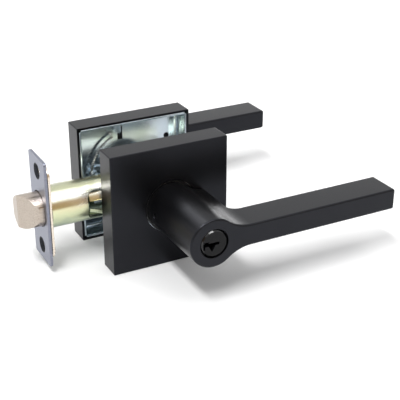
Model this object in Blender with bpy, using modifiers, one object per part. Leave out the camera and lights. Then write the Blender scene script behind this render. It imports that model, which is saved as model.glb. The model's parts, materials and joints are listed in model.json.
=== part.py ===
"""Keyed lever lockset: two square roses, two levers, a tubular spring latch.

Metres, +Z up. The spindle axis is Y through the origin, which lies half way
through the door. The keyed (exterior) side is at -Y, the latch bolt points to
-X and both levers point to +X.
"""
import math

import bmesh
import bpy
from mathutils import Matrix, Vector

# Fits
FIT = 0.0003                  # clearance between neighbouring pieces
EPS = 0.0005                  # how far a cutter runs past the face it leaves

# Door, roses and mounting plates
DOOR_GAP = 0.0308             # between the door sides of the two roses
ROSE_SIDE = 0.0650
ROSE_DEPTH = 0.0128
COVER_WALL = 0.0010
COVER_EDGE = 0.0005
PLATE_SHEET = 0.0012
PLATE_NOTCH = 0.0034          # corner relief of the pressed tray
BUSH_WALL = 0.0009
BUSH_SETBACK = 0.0002

# Levers
HUB_DIA = 0.0254
HUB_REACH = 0.0465            # from the rose face to the hub face
HUB_FACE_WALL = 0.0025
HUB_WALL = 0.0015
GRIP_LENGTH = 0.1058          # from the spindle axis to the end of the grip
GRIP_HEIGHT = 0.0113
GRIP_DEPTH = 0.0186
GRIP_FILLET = 0.0200
GRIP_CORNER = 0.0012
NECK_LENGTH = 0.0057          # from the hub to the flat behind the grip
NECK_GAP = 0.0007             # between the neck and the rose
FINGER_ROUND = 0.0060         # inner corner between neck and grip
LEVER_EDGE = 0.0007
RELEASE_DIA = 0.0030          # pin hole that frees the keyed lever
RELEASE_REACH = 0.0072        # from the rose face to the pin hole

# Spindles, rings and return springs
SPINDLE_WALL = 0.0016
SPINDLE_GAP = 0.0028          # between a spindle's tip and the key cylinder
SPINDLE_END_WALL = 0.0020
SPINDLE_SETBACK = 0.0008      # spindle end behind the rose's door side
DRIVE_SQUARE = 0.0076
DRIVE_BORE = 0.0052
DRIVE_CORNER = 0.0005
DRIVE_REACH = 0.0015          # past the end wall of each spindle
RING_THICK = 0.0012
RING_WIDTH = 0.0020
RING_GROOVE = 0.0008
RING_MOUTH = 50.0             # degrees left open
DRIVER_THICK = 0.0015
DRIVER_RIM = 0.0036
FINGER_WIDTH = 0.0032
FINGER_ANGLE = 340.0          # degrees from +X towards +Z
SPRING_CLEAR = 0.0005         # between the spring and the posts
SPRING_WIRE = 0.0015
SPRING_FALL = 0.0038          # towards the door, from tab to finger
SPRING_LEG = 0.0034
TAB_WIDTH = 0.0029
TAB_REACH = 0.0064            # how far the tab stands up from the tray floor
TAB_ANGLE = 109.0
PILOT_X = 0.0236              # small pierced hole in the tray floor
PILOT_Z = 0.0154
PILOT_DIA = 0.0032

# Fixings through the door
SCREW_SPREAD = 0.0381         # between the two through screws
POST_DIA = 0.0062
POST_BORE = 0.0046
POST_TIP = 0.0110             # how far a post reaches past mid door
SCREW_SHANK = 0.0040
SCREW_HEAD = 0.0080
SCREW_HEAD_THICK = 0.0013
SCREW_DRIVE = 0.0009
SCREW_TIP = 0.0060            # how far a screw reaches past mid door
POST_BORE_SPARE = 0.0080      # post bore left beyond the screw tip
SEAT_RISE = 0.0016
SEAT_DIA = 0.0118
SEAT_DRAFT = 0.0005           # how far a seat narrows to its crown

# Key cylinder and turn button
PLUG_FACE_DIA = 0.0144
PLUG_DIA = 0.0127
SHELL_LENGTH = 0.0229
KEYWAY_DEPTH = 0.0200
KEYWAY_LEFT = -0.0056
KEYWAY_RIGHT = 0.0026
KEYWAY_SLOT = 0.0011
KEYWAY_LOBE_WIDTH = 0.0030
KEYWAY_LOBE_DROP = 0.0036
BLADE_WIDTH = 0.0042
BLADE_THICK = 0.0016
BLADE_HEAD = 0.0010
BUTTON_STEM = 0.0080
BUTTON_STEM_LENGTH = 0.0270
BUTTON_GRIP_WIDTH = 0.0036
BUTTON_GRIP_RISE = 0.0050
BUTTON_GRIP_INSET = 0.0007
BUTTON_GRIP_ROUND = 0.0016
BUTTON_FLANGE = 0.0012

# Latch
BACKSET = 0.0603              # door edge to spindle axis
FACE_WIDTH = 0.0226
FACE_HEIGHT = 0.05715
FACE_THICK = 0.0015
FACE_CORNER = 0.0014
FACE_HOLES = 0.0413
FACE_HOLE_DIA = 0.0050
FACE_SINK_DIA = 0.0086
BACK_HEIGHT = 0.0500
BACK_THICK = 0.0012
BACK_CORNER = 0.0050
BACK_WEB = 0.0012             # sheet left beside the tube
TUBE_DIA = 0.0220
TUBE_WALL = 0.0010
TUBE_TAIL = 0.0270            # past the spindle axis
WINDOW_HEIGHT = 0.0154
WINDOW_START = 0.0380         # before the spindle axis
WINDOW_CORNER = 0.0040
WINDOW_LIP = 0.0030
TONGUE_WIDTH = 0.0060         # of the tube's wall, left in the front of the window
TONGUE_LENGTH = 0.0085
BOLT_CLEAR = 0.0010           # between the bolt and the tube
BOLT_WIDTH = 0.0166
BOLT_THROW = 0.0110
BOLT_BODY = 0.0043            # bolt length behind the door edge
BOLT_NOSE = 0.0066            # flat left at the tip of the bevel
BOLT_BEVEL = 55.0             # degrees from the latch axis
BOLT_HEEL = 0.0060            # radius that rolls the bevel into the cheek
BOLT_RUNOUT = 0.0001          # how far that radius passes the cheek
BOLT_GAP = 0.0005
BOLT_SLOT = 0.0040            # how deep the drawbar enters the bolt
BAR_THICK = 0.0020
BAR_NECK = 0.0080
BAR_ARM = 0.0019
BAR_BASE = 0.0030
BAR_CLEAR = 0.00025           # between the lugs and the tube
LUG_WIDTH = 0.0025
LUG_SPAN = 0.0084
LUG_INSET = 0.0001            # lug end behind the end of its arm
COIL_DIA = 0.0130
COIL_WIRE = 0.0008
COIL_TURNS = 4
SEAT_DISC = 0.0010
CAM_BODY = 0.0120
CAM_BOSS_DIA = 0.0118
CAM_FINGER_WIDTH = 0.0030
CAM_FINGER_SHORT = 0.0001     # finger tips below the lug tops
CAM_FINGER_ROOT = 0.0045
CAM_FINGER_LEAN = 25.0        # degrees back from upright at rest

# Facets round a full turn
FINE = 64
MEDIUM = 40
SMALL = 24
COIL_POINTS = 10
FILLET_FACETS = 8
CORNER_FACETS = 3
GAP_POINTS = 144              # round one turn, where a coil's own gap is measured

# Planes measured outwards from mid door
RIM = DOOR_GAP / 2
ROSE_FACE = RIM + ROSE_DEPTH
COVER_INNER = ROSE_FACE - COVER_WALL
PLATE_OUTER = COVER_INNER - FIT
FLOOR = PLATE_OUTER - PLATE_SHEET
HUB_BASE = COVER_INNER
HUB_FACE = ROSE_FACE + HUB_REACH
GRIP_BACK = HUB_FACE - GRIP_DEPTH
NECK_BASE = ROSE_FACE + NECK_GAP
HUB_INNER = HUB_FACE - HUB_FACE_WALL
SHELL_FRONT = HUB_INNER - FIT
SHELL_REAR = SHELL_FRONT - SHELL_LENGTH
SPINDLE_TIP = SHELL_REAR - SPINDLE_GAP
SPINDLE_END = RIM + SPINDLE_SETBACK
PLATE_SIDE = ROSE_SIDE - 2 * (COVER_WALL + FIT)

# Radii about the spindle axis
HUB_R = HUB_DIA / 2
SOCKET_R = HUB_R - HUB_WALL
SPINDLE_R = SOCKET_R - FIT
SPINDLE_BORE_R = SPINDLE_R - SPINDLE_WALL
BUSH_BORE_R = HUB_R + FIT
BUSH_R = BUSH_BORE_R + BUSH_WALL
ROSE_HOLE_R = BUSH_R + FIT
FACE_HOLE_R = PLUG_FACE_DIA / 2 + FIT
SPRING_RADIUS = (SCREW_SPREAD + POST_DIA + SPRING_WIRE) / 2 + SPRING_CLEAR

# Planes along the latch, measured from the spindle axis towards +X
EDGE = -BACKSET
FACE_BACK = EDGE + FACE_THICK
BACK_FRONT = FACE_BACK + FIT
BOLT_TIP = EDGE - BOLT_THROW
BOLT_REAR = EDGE + BOLT_BODY
DISC_BACK = -WINDOW_START - FIT
DISC_FRONT = DISC_BACK - SEAT_DISC

# Radii about the latch axis, and heights of what runs in the tube
TUBE_BORE_R = TUBE_DIA / 2 - TUBE_WALL
BOLT_R = TUBE_BORE_R - BOLT_CLEAR
LUG_TOP = math.sqrt((TUBE_BORE_R - BAR_CLEAR) ** 2 - (LUG_SPAN / 2) ** 2)
ARM_TOP = LUG_TOP + FIT
ARM_LOW = ARM_TOP - BAR_ARM
CAM_R = ARM_LOW - FIT
CAM_FINGER_REACH = LUG_TOP - CAM_FINGER_SHORT


def clear_scene():
    for old in list(bpy.data.objects):
        bpy.data.objects.remove(old, do_unlink=True)


def new_collection(name):
    group = bpy.data.collections.new(name)
    bpy.context.scene.collection.children.link(group)
    return group


def new_frame(name, columns):
    """An empty whose local axes point along the given world axes."""
    empty = bpy.data.objects.new(name, None)
    PARTS.objects.link(empty)
    empty.matrix_world = Matrix(columns).transposed().to_4x4()
    return empty


def new_material(name, colour, roughness, metallic):
    material = bpy.data.materials.new(name)
    material.use_nodes = True
    shader = material.node_tree.nodes["Principled BSDF"]
    shader.inputs["Base Color"].default_value = (*colour, 1.0)
    shader.inputs["Roughness"].default_value = roughness
    shader.inputs["Metallic"].default_value = metallic
    return material


def place(name, data, frame, material=None):
    """A part when it has a material, otherwise a cutter."""
    thing = bpy.data.objects.new(name, data)
    group = PARTS if material else CUTTERS
    group.objects.link(thing)
    thing.parent = frame
    if material:
        data.materials.append(material)
    else:
        thing.hide_render = True
        thing.display_type = 'WIRE'
    return thing


def shade(mesh, degrees=35.0):
    mesh.shade_smooth()
    mesh.set_sharp_from_angle(angle=math.radians(degrees))


def arc(centre, radius, start, end, count):
    """Points on an arc, both ends included, angles in degrees."""
    points = []
    for step in range(count + 1):
        angle = math.radians(start + (end - start) * step / count)
        points.append((centre[0] + radius * math.cos(angle), centre[1] + radius * math.sin(angle)))
    return points


def circle(radius, facets, centre=(0.0, 0.0)):
    return arc(centre, radius, 0.0, 360.0, facets)[:-1]


def rectangle(width, height, corner, centre=(0.0, 0.0), facets=4):
    points = []
    for turn, (sx, sy) in enumerate(((1, 1), (-1, 1), (-1, -1), (1, -1))):
        x = centre[0] + sx * (width / 2 - corner)
        y = centre[1] + sy * (height / 2 - corner)
        points += arc((x, y), corner, 90.0 * turn, 90.0 * turn + 90.0, facets)
    return points


def barrel(radius, width, facets=12):
    """A circle with both sides cut flat, width apart along x."""
    half = math.degrees(math.acos(width / 2 / radius))
    top = arc((0.0, 0.0), radius, half, 180.0 - half, facets)
    return top + [(-x, -y) for x, y in top]


def plate(name, loops, low, high, frame, material=None):
    """Flat outline with holes, from low to high along the frame's z."""
    outline = bpy.data.curves.new(name, 'CURVE')
    outline.dimensions = '2D'
    outline.fill_mode = 'BOTH'
    outline.extrude = (high - low) / 2
    for loop in loops:
        spline = outline.splines.new('POLY')
        spline.points.add(len(loop) - 1)
        spline.use_cyclic_u = True
        for point, (x, y) in zip(spline.points, loop):
            point.co = (x, y, 0.0, 1.0)
    source = bpy.data.objects.new(name + "_outline", outline)
    CUTTERS.objects.link(source)
    mesh = bpy.data.meshes.new_from_object(source.evaluated_get(bpy.context.evaluated_depsgraph_get()))
    bpy.data.objects.remove(source)
    shape = bmesh.new()
    shape.from_mesh(mesh)
    bmesh.ops.remove_doubles(shape, verts=shape.verts, dist=1e-7)
    bmesh.ops.dissolve_limit(shape, angle_limit=math.radians(0.5), verts=shape.verts, edges=shape.edges)
    bmesh.ops.translate(shape, verts=shape.verts, vec=(0.0, 0.0, (low + high) / 2))
    bmesh.ops.recalc_face_normals(shape, faces=shape.faces)
    shape.to_mesh(mesh)
    shape.free()
    shade(mesh)
    return place(name, mesh, frame, material)


def lathe(name, profile, facets, frame, material=None, centre=(0.0, 0.0)):
    """Turn a closed profile of (radius, height), listed down its outer side, about the frame's z."""
    mesh = bpy.data.meshes.new(name)
    shape = bmesh.new()
    corners = [shape.verts.new((radius, 0.0, height)) for radius, height in profile]
    on_axis = profile[0][0] == 0.0 and profile[-1][0] == 0.0
    ends = corners[1:] if on_axis else corners[1:] + corners[:1]
    for first, second in zip(corners, ends):
        shape.edges.new((first, second))
    shape.to_mesh(mesh)
    shape.free()
    thing = place(name, mesh, frame, material)
    thing.location = (centre[0], centre[1], 0.0)
    turn = thing.modifiers.new("turn", 'SCREW')
    turn.axis = 'Z'
    turn.angle = math.tau
    turn.steps = facets
    turn.render_steps = facets
    turn.use_merge_vertices = True
    turn.merge_threshold = 1e-6
    turn.use_smooth_shade = False
    return thing


def rod(name, radius, low, high, facets, frame, material=None, centre=(0.0, 0.0)):
    profile = [(0.0, high), (radius, high), (radius, low), (0.0, low)]
    return lathe(name, profile, facets, frame, material, centre)


def ring(name, outer, inner, low, high, facets, frame, material=None):
    profile = [(outer, high), (outer, low), (inner, low), (inner, high)]
    return lathe(name, profile, facets, frame, material)


def block(name, low, high, frame, material=None):
    """A box between two corners."""
    mesh = bpy.data.meshes.new(name)
    shape = bmesh.new()
    bmesh.ops.create_cube(shape, size=1.0)
    size = [b - a for a, b in zip(low, high)]
    middle = [(a + b) / 2 for a, b in zip(low, high)]
    bmesh.ops.scale(shape, verts=shape.verts, vec=size)
    bmesh.ops.translate(shape, verts=shape.verts, vec=middle)
    shape.to_mesh(mesh)
    shape.free()
    return place(name, mesh, frame, material)


def wire(name, points, diameter, frame, material):
    """Round wire along points."""
    path = bpy.data.curves.new(name, 'CURVE')
    path.dimensions = '3D'
    path.bevel_depth = diameter / 2
    path.bevel_resolution = 1
    path.use_fill_caps = True
    spline = path.splines.new('POLY')
    spline.points.add(len(points) - 1)
    for point, co in zip(spline.points, points):
        point.co = (*co, 1.0)
    return place(name, path, frame, material)


def boolean(target, tool, operation='DIFFERENCE', solver='EXACT'):
    step = target.modifiers.new(tool.name, 'BOOLEAN')
    step.operation = operation
    step.solver = solver
    step.object = tool
    return target


def soften(target, width, segments=2):
    edge = target.modifiers.new("edge", 'BEVEL')
    edge.width = width
    edge.segments = segments
    edge.limit_method = 'ANGLE'
    edge.angle_limit = math.radians(50.0)
    return target


def helix(radius, start, sweep, first, last, per_turn):
    """Points of a coil about the frame's z, from height first to height last, angles in degrees."""
    count = round(sweep / 360.0 * per_turn)
    points = []
    for step in range(count + 1):
        angle = math.radians(start + sweep * step / count)
        height = first + (last - first) * step / count
        points.append((radius * math.cos(angle), radius * math.sin(angle), height))
    return points


def print_least_gap(name, points, diameter):
    """Print the least clear distance, in mm, between points of a coil half a turn or more apart."""
    least = math.inf
    for number, first in enumerate(points):
        for second in points[number + GAP_POINTS // 2:]:
            least = min(least, math.dist(first, second) - diameter)
    print(name, "least gap to itself:", round(least * 1000, 2), "mm")


# Roses

def rose_cover(side, half):
    cover = block(side + "_rose_cover", (-ROSE_SIDE / 2, -ROSE_SIDE / 2, RIM),
                  (ROSE_SIDE / 2, ROSE_SIDE / 2, ROSE_FACE), half, BLACK)
    soften(cover, COVER_EDGE)
    inside = ROSE_SIDE / 2 - COVER_WALL
    cavity = block(side + "_cover_cavity", (-inside, -inside, RIM - EPS), (inside, inside, COVER_INNER), half)
    hole = rod(side + "_cover_hole", ROSE_HOLE_R, COVER_INNER - EPS, ROSE_FACE + EPS, FINE, half)
    boolean(cover, cavity)
    boolean(cover, hole)


def rose_bush(side, half):
    ring(side + "_rose_bush", BUSH_R, BUSH_BORE_R, COVER_INNER, ROSE_FACE - BUSH_SETBACK, FINE, half, NYLON)


def mounting_plate(side, half, up, screw_seats):
    """Pressed tray: floor behind the cover's face, walls back to the door, one tab lanced for the spring."""
    out = PLATE_SIDE / 2
    inner = out - PLATE_SHEET
    tray = block(side + "_mounting_plate", (-out, -out, RIM), (out, out, PLATE_OUTER), half, ZINC)
    boolean(tray, block(side + "_tray_cavity", (-inner, -inner, RIM - EPS), (inner, inner, FLOOR), half))
    for sx in (-1, 1):
        for sy in (-1, 1):
            near = (sx * (out - PLATE_NOTCH), sy * (out - PLATE_NOTCH))
            far = (sx * (out + EPS), sy * (out + EPS))
            low = (min(near[0], far[0]), min(near[1], far[1]), RIM - EPS)
            high = (max(near[0], far[0]), max(near[1], far[1]), FLOOR - EPS)
            boolean(tray, block(f"{side}_tray_corner_{sx}_{sy}", low, high, half))
    boolean(tray, rod(side + "_tray_bore", SPINDLE_R + FIT, FLOOR - EPS, PLATE_OUTER + EPS, MEDIUM, half))
    tab_x = SPRING_RADIUS * math.cos(math.radians(TAB_ANGLE))
    tab_low = SPRING_RADIUS + SPRING_WIRE / 2 + FIT
    tab_ends = sorted((up * tab_low, up * (inner - FIT)))
    tab = block(side + "_tray_tab", (tab_x - TAB_WIDTH / 2, tab_ends[0], FLOOR - TAB_REACH),
                (tab_x + TAB_WIDTH / 2, tab_ends[1], FLOOR + PLATE_SHEET / 2), half)
    boolean(tray, tab, 'UNION')
    slot_left = tab_x + TAB_WIDTH / 2 + PLATE_SHEET / 2
    slot_ends = sorted((up * (tab_low - TAB_REACH), up * (inner - PLATE_SHEET)))
    slot = block(side + "_tray_slot", (slot_left, slot_ends[0], FLOOR - EPS),
                 (slot_left + TAB_WIDTH, slot_ends[1], PLATE_OUTER + EPS), half)
    boolean(tray, slot)
    pilot = rod(side + "_tray_pilot", PILOT_DIA / 2, FLOOR - EPS, PLATE_OUTER + EPS, SMALL, half, None,
                (PILOT_X, up * PILOT_Z))
    boolean(tray, pilot)
    if screw_seats:
        press_screw_seats(side, tray, half)


def press_screw_seats(side, tray, half):
    """Two dished seats, raised on the door side, that sink the screw heads below the cover."""
    centres = [(sx * SCREW_SPREAD / 2, 0.0) for sx in (-1, 1)]
    middle = PLATE_OUTER - PLATE_SHEET / 2
    crown = FLOOR - SEAT_RISE
    profile = [(0.0, middle), (SEAT_DIA / 2, middle), (SEAT_DIA / 2 - SEAT_DRAFT, crown), (0.0, crown)]
    sunk = PLATE_OUTER - SEAT_RISE
    head = SCREW_HEAD / 2 + FIT
    shank = SCREW_SHANK / 2 + FIT
    stepped = [(0.0, PLATE_OUTER + EPS), (head, PLATE_OUTER + EPS), (head, sunk), (shank, sunk),
               (shank, crown - EPS), (0.0, crown - EPS)]
    for count, centre in enumerate(centres):
        boss = lathe(f"{side}_seat_{count}", profile, SMALL, half, None, centre)
        hole = lathe(f"{side}_seat_hole_{count}", stepped, SMALL, half, None, centre)
        boolean(tray, boss, 'UNION', 'MANIFOLD')
        boolean(tray, hole, 'DIFFERENCE', 'MANIFOLD')


# Levers

def lever_outline():
    """Hub arc, grip path and the hub arc hidden inside the grip."""
    half = GRIP_HEIGHT / 2
    rise = half + GRIP_FILLET
    start = math.sqrt((HUB_R + GRIP_FILLET) ** 2 - rise ** 2)
    lean = math.degrees(math.atan2(rise, start))
    hidden = round(FINE * lean / 180.0)
    hub = arc((0.0, 0.0), HUB_R, lean, 360.0 - lean, FINE - hidden)
    inside = arc((0.0, 0.0), HUB_R, -lean, lean, hidden)[1:-1]
    lower = arc((start, -rise), GRIP_FILLET, 180.0 - lean, 90.0, FILLET_FACETS)[1:]
    corner = GRIP_LENGTH - GRIP_CORNER
    end = arc((corner, -half + GRIP_CORNER), GRIP_CORNER, -90.0, 0.0, CORNER_FACETS)
    end += arc((corner, half - GRIP_CORNER), GRIP_CORNER, 0.0, 90.0, CORNER_FACETS)
    upper = [(x, -y) for x, y in reversed(lower)]
    return hub, lower + end + upper, inside


def lever(side, half):
    """Hub and square grip, blended in plan by two concave fillets, with a neck down to the rose."""
    hub, grip, inside = lever_outline()
    shape = bmesh.new()
    hub_verts = [shape.verts.new((x, y, NECK_BASE)) for x, y in hub]
    grip_verts = [shape.verts.new((x, y, NECK_BASE)) for x, y in grip]
    inside_verts = [shape.verts.new((x, y, NECK_BASE)) for x, y in inside]
    disc = shape.faces.new(hub_verts + inside_verts)
    bar = shape.faces.new([hub_verts[-1]] + grip_verts + [hub_verts[0]] + inside_verts[::-1])
    front = bmesh.ops.extrude_face_region(shape, geom=[disc, bar])
    raised = [item for item in front["geom"] if isinstance(item, bmesh.types.BMVert)]
    bmesh.ops.translate(shape, verts=raised, vec=(0.0, 0.0, HUB_FACE - NECK_BASE))
    base = bmesh.ops.extrude_face_region(shape, geom=[disc])
    lowered = [item for item in base["geom"] if isinstance(item, bmesh.types.BMVert)]
    bmesh.ops.translate(shape, verts=lowered, vec=(0.0, 0.0, HUB_BASE - NECK_BASE))
    bmesh.ops.delete(shape, geom=[disc], context='FACES_ONLY')
    bmesh.ops.recalc_face_normals(shape, faces=shape.faces)
    weight = shape.edges.layers.float.new("bevel_weight_edge")
    for edge in shape.edges:
        at_front = min(vert.co.z for vert in edge.verts) > HUB_FACE - EPS
        outside = edge.calc_face_angle(0.0) > math.radians(60.0)
        edge[weight] = 1.0 if at_front and outside else 0.0
    mesh = bpy.data.meshes.new(side + "_lever")
    shape.to_mesh(mesh)
    shape.free()
    thing = place(side + "_lever", mesh, half, BLACK)
    edge = thing.modifiers.new("edge", 'BEVEL')
    edge.width = LEVER_EDGE
    edge.segments = 2
    edge.limit_method = 'WEIGHT'
    boolean(thing, finger_space(side, half), 'DIFFERENCE', 'MANIFOLD')
    profile = [(0.0, HUB_FACE + EPS), (FACE_HOLE_R, HUB_FACE + EPS), (FACE_HOLE_R, HUB_INNER),
               (SOCKET_R, HUB_INNER), (SOCKET_R, HUB_BASE - EPS), (0.0, HUB_BASE - EPS)]
    boolean(thing, lathe(side + "_lever_bore", profile, FINE, half), 'DIFFERENCE', 'MANIFOLD')
    return thing


def finger_space(side, half):
    """Room between grip and rose, with a round corner where the neck meets the grip."""
    low = NECK_BASE - EPS
    far = GRIP_LENGTH + EPS
    near = HUB_R + NECK_LENGTH
    corner = (near + FINGER_ROUND, GRIP_BACK - FINGER_ROUND)
    outline = [(near, low), (far, low), (far, GRIP_BACK)]
    outline += arc(corner, FINGER_ROUND, 90.0, 180.0, FILLET_FACETS)
    space = plate(side + "_finger_space", [outline], -HUB_R, HUB_R, half)
    space.rotation_euler = (math.radians(90.0), 0.0, 0.0)
    return space


def release_hole(side, target, half):
    """Pin hole in the hub's latch side, through which the lever is freed from its spindle."""
    hole = rod(side + "_release_hole", RELEASE_DIA / 2, SOCKET_R - EPS, HUB_R + EPS, SMALL, half)
    hole.rotation_euler = (0.0, math.radians(-90.0), 0.0)
    hole.location = (0.0, 0.0, ROSE_FACE + RELEASE_REACH)
    boolean(target, hole, 'DIFFERENCE', 'MANIFOLD')


def spindle(side, half):
    """Tube on which the lever hub sits, closed at the door end round the square drive."""
    groove_top = FLOOR
    groove_low = FLOOR - RING_THICK - 2 * FIT
    waist = SPINDLE_R - RING_GROOVE
    profile = [(0.0, SPINDLE_END + SPINDLE_END_WALL), (SPINDLE_BORE_R, SPINDLE_END + SPINDLE_END_WALL),
               (SPINDLE_BORE_R, SPINDLE_TIP), (SPINDLE_R, SPINDLE_TIP), (SPINDLE_R, groove_top),
               (waist, groove_top), (waist, groove_low), (SPINDLE_R, groove_low), (SPINDLE_R, SPINDLE_END),
               (0.0, SPINDLE_END)]
    tube = lathe(side + "_spindle", profile, MEDIUM, half, STEEL)
    reach = DRIVE_SQUARE / 2 + FIT
    boolean(tube, block(side + "_drive_hole", (-reach, -reach, SPINDLE_END - EPS),
                        (reach, reach, SPINDLE_END + SPINDLE_END_WALL + EPS), half))


def retaining_ring(side, half, up):
    """Open snap ring in the spindle groove, against the tray floor."""
    inner = SPINDLE_R - RING_GROOVE + FIT
    start = 90.0 * -up + RING_MOUTH / 2
    sweep = 360.0 - RING_MOUTH
    outline = arc((0.0, 0.0), inner + RING_WIDTH, start, start + sweep, SMALL)
    outline += arc((0.0, 0.0), inner, start + sweep, start, SMALL)
    plate(side + "_retaining_ring", [outline], FLOOR - FIT - RING_THICK, FLOOR - FIT, half, STEEL)


def spring_driver(side, half, up):
    """Washer on the spindle's door end, with the finger that winds the return spring."""
    bore = SPINDLE_R + FIT
    rim = bore + DRIVER_RIM
    reach = SPRING_RADIUS + SPRING_WIRE
    spread = math.degrees(math.asin(FINGER_WIDTH / 2 / rim))
    outline = arc((0.0, 0.0), rim, FINGER_ANGLE + spread, FINGER_ANGLE + 360.0 - spread, MEDIUM)
    aim = math.radians(FINGER_ANGLE)
    along = Vector((math.cos(aim), math.sin(aim)))
    across = Vector((-along.y, along.x)) * FINGER_WIDTH / 2
    outline += [tuple(along * reach - across), tuple(along * reach + across)]
    loops = [[(x, up * y) for x, y in outline], circle(bore, MEDIUM)]
    low = SPINDLE_END + FIT
    plate(side + "_spring_driver", loops, low, low + DRIVER_THICK, half, ZINC)


def return_spring(side, half, up):
    """Open wire spring from the tray's tab round under the spindle to the driver's finger."""
    top = FLOOR - SEAT_RISE - FIT - SPRING_WIRE / 2
    beside = SPRING_WIRE / 2 + FIT
    start = TAB_ANGLE + math.degrees((TAB_WIDTH / 2 + beside) / SPRING_RADIUS)
    end = FINGER_ANGLE - math.degrees((FINGER_WIDTH / 2 + beside) / SPRING_RADIUS)
    points = helix(SPRING_RADIUS, start, end - start, top, top - SPRING_FALL, FINE)
    points = [(x, up * y, z) for x, y, z in points]
    outer = (SPRING_RADIUS + SPRING_LEG) / SPRING_RADIUS
    x, y, height = points[0]
    fixed_leg = (x * outer, y * outer, height)
    x, y, height = points[-1]
    moving_leg = (x, y, height - SPRING_LEG)
    wire(side + "_return_spring", [fixed_leg] + points + [moving_leg], SPRING_WIRE, half, SPRING_STEEL)


# Drive, key cylinder and turn button

def drive_spindle(half):
    """Square tube through the latch, turned by both spindles."""
    end = SPINDLE_END + SPINDLE_END_WALL + DRIVE_REACH
    loops = [rectangle(DRIVE_SQUARE, DRIVE_SQUARE, DRIVE_CORNER), circle(DRIVE_BORE / 2, SMALL)]
    plate("drive_spindle", loops, -end, end, half, STEEL)


def key_cylinder(half):
    ring("cylinder_shell", SPINDLE_R, PLUG_DIA / 2 + FIT, SHELL_REAR, SHELL_FRONT, MEDIUM, half, BRASS)
    rear = SHELL_REAR - FIT
    profile = [(0.0, HUB_FACE), (PLUG_FACE_DIA / 2, HUB_FACE), (PLUG_FACE_DIA / 2, HUB_INNER),
               (PLUG_DIA / 2, HUB_INNER), (PLUG_DIA / 2, rear), (0.0, rear)]
    plug = lathe("key_plug", profile, MEDIUM, half, BLACK_SATIN)
    low = HUB_FACE - KEYWAY_DEPTH
    boolean(plug, block("keyway_slot", (KEYWAY_LEFT, -KEYWAY_SLOT / 2, low),
                        (KEYWAY_RIGHT, KEYWAY_SLOT / 2, HUB_FACE + EPS), half))
    lobe_x = (KEYWAY_LEFT + KEYWAY_RIGHT) / 2
    lobe_side = KEYWAY_LOBE_WIDTH / 2
    lobe = [(lobe_x - lobe_side, 0.0), (lobe_x, -KEYWAY_LOBE_DROP), (lobe_x + lobe_side, 0.0)]
    boolean(plug, plate("keyway_lobe", [lobe], low, HUB_FACE + EPS, half))
    tailpiece(half, rear - FIT)


def tailpiece(half, top):
    """Blade from the key plug through the drive spindle to the turn button."""
    head = rod("tailpiece", PLUG_DIA / 2 - FIT, top - BLADE_HEAD, top, SMALL, half, STEEL)
    button_end = HUB_FACE - BUTTON_STEM_LENGTH
    blade = block("tailpiece_blade", (-BLADE_WIDTH / 2, -BLADE_THICK / 2, -button_end - BLADE_WIDTH),
                  (BLADE_WIDTH / 2, BLADE_THICK / 2, top - BLADE_HEAD / 2), half)
    boolean(head, blade, 'UNION')


def turn_button(half):
    """Thumb turn in the inside hub, slotted for the tailpiece."""
    low = HUB_FACE - BUTTON_STEM_LENGTH
    flange = SHELL_FRONT - FIT
    profile = [(0.0, HUB_FACE), (PLUG_FACE_DIA / 2, HUB_FACE), (PLUG_FACE_DIA / 2, SHELL_FRONT),
               (SPINDLE_BORE_R, SHELL_FRONT), (SPINDLE_BORE_R, flange - BUTTON_FLANGE),
               (BUTTON_STEM / 2, flange - BUTTON_FLANGE), (BUTTON_STEM / 2, low), (0.0, low)]
    button = lathe("turn_button", profile, MEDIUM, half, BLACK_SATIN)
    grip_length = PLUG_FACE_DIA - 2 * BUTTON_GRIP_INSET
    loops = [rectangle(grip_length, BUTTON_GRIP_WIDTH, BUTTON_GRIP_ROUND)]
    boolean(button, plate("button_grip", loops, HUB_FACE - EPS, HUB_FACE + BUTTON_GRIP_RISE, half), 'UNION')
    slot = block("button_slot", (-BLADE_WIDTH / 2 - FIT, -BLADE_THICK / 2 - FIT, low - EPS),
                 (BLADE_WIDTH / 2 + FIT, BLADE_THICK / 2 + FIT, low + BLADE_WIDTH + 4 * FIT), half)
    boolean(button, slot)


# Through fixings

def through_fixings(exterior, interior):
    for side, sx in (("latch_side", -1), ("lever_side", 1)):
        centre = (sx * SCREW_SPREAD / 2, 0.0)
        depth = SCREW_TIP + POST_BORE_SPARE
        profile = [(0.0, FLOOR - FIT), (POST_DIA / 2, FLOOR - FIT), (POST_DIA / 2, -POST_TIP),
                   (POST_BORE / 2, -POST_TIP), (POST_BORE / 2, depth), (0.0, depth)]
        lathe("threaded_post_" + side, profile, SMALL, exterior, ZINC, centre)
        head = PLATE_OUTER - SEAT_RISE + FIT
        crown = head + SCREW_HEAD_THICK
        profile = [(0.0, crown), (SCREW_HEAD / 2 - SCREW_DRIVE / 2, crown),
                   (SCREW_HEAD / 2, crown - SCREW_DRIVE / 2), (SCREW_HEAD / 2, head),
                   (SCREW_SHANK / 2, head), (SCREW_SHANK / 2, -SCREW_TIP), (0.0, -SCREW_TIP)]
        screw = lathe("mounting_screw_" + side, profile, SMALL, interior, ZINC, centre)
        cross = SCREW_HEAD / 2
        for name, wide, tall in (("across", cross, SCREW_DRIVE), ("upright", SCREW_DRIVE, cross)):
            low = (centre[0] - wide / 2, -tall / 2, crown - SCREW_DRIVE)
            high = (centre[0] + wide / 2, tall / 2, crown + EPS)
            boolean(screw, block(f"screw_cross_{name}_{side}", low, high, interior))


# Latch

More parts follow.
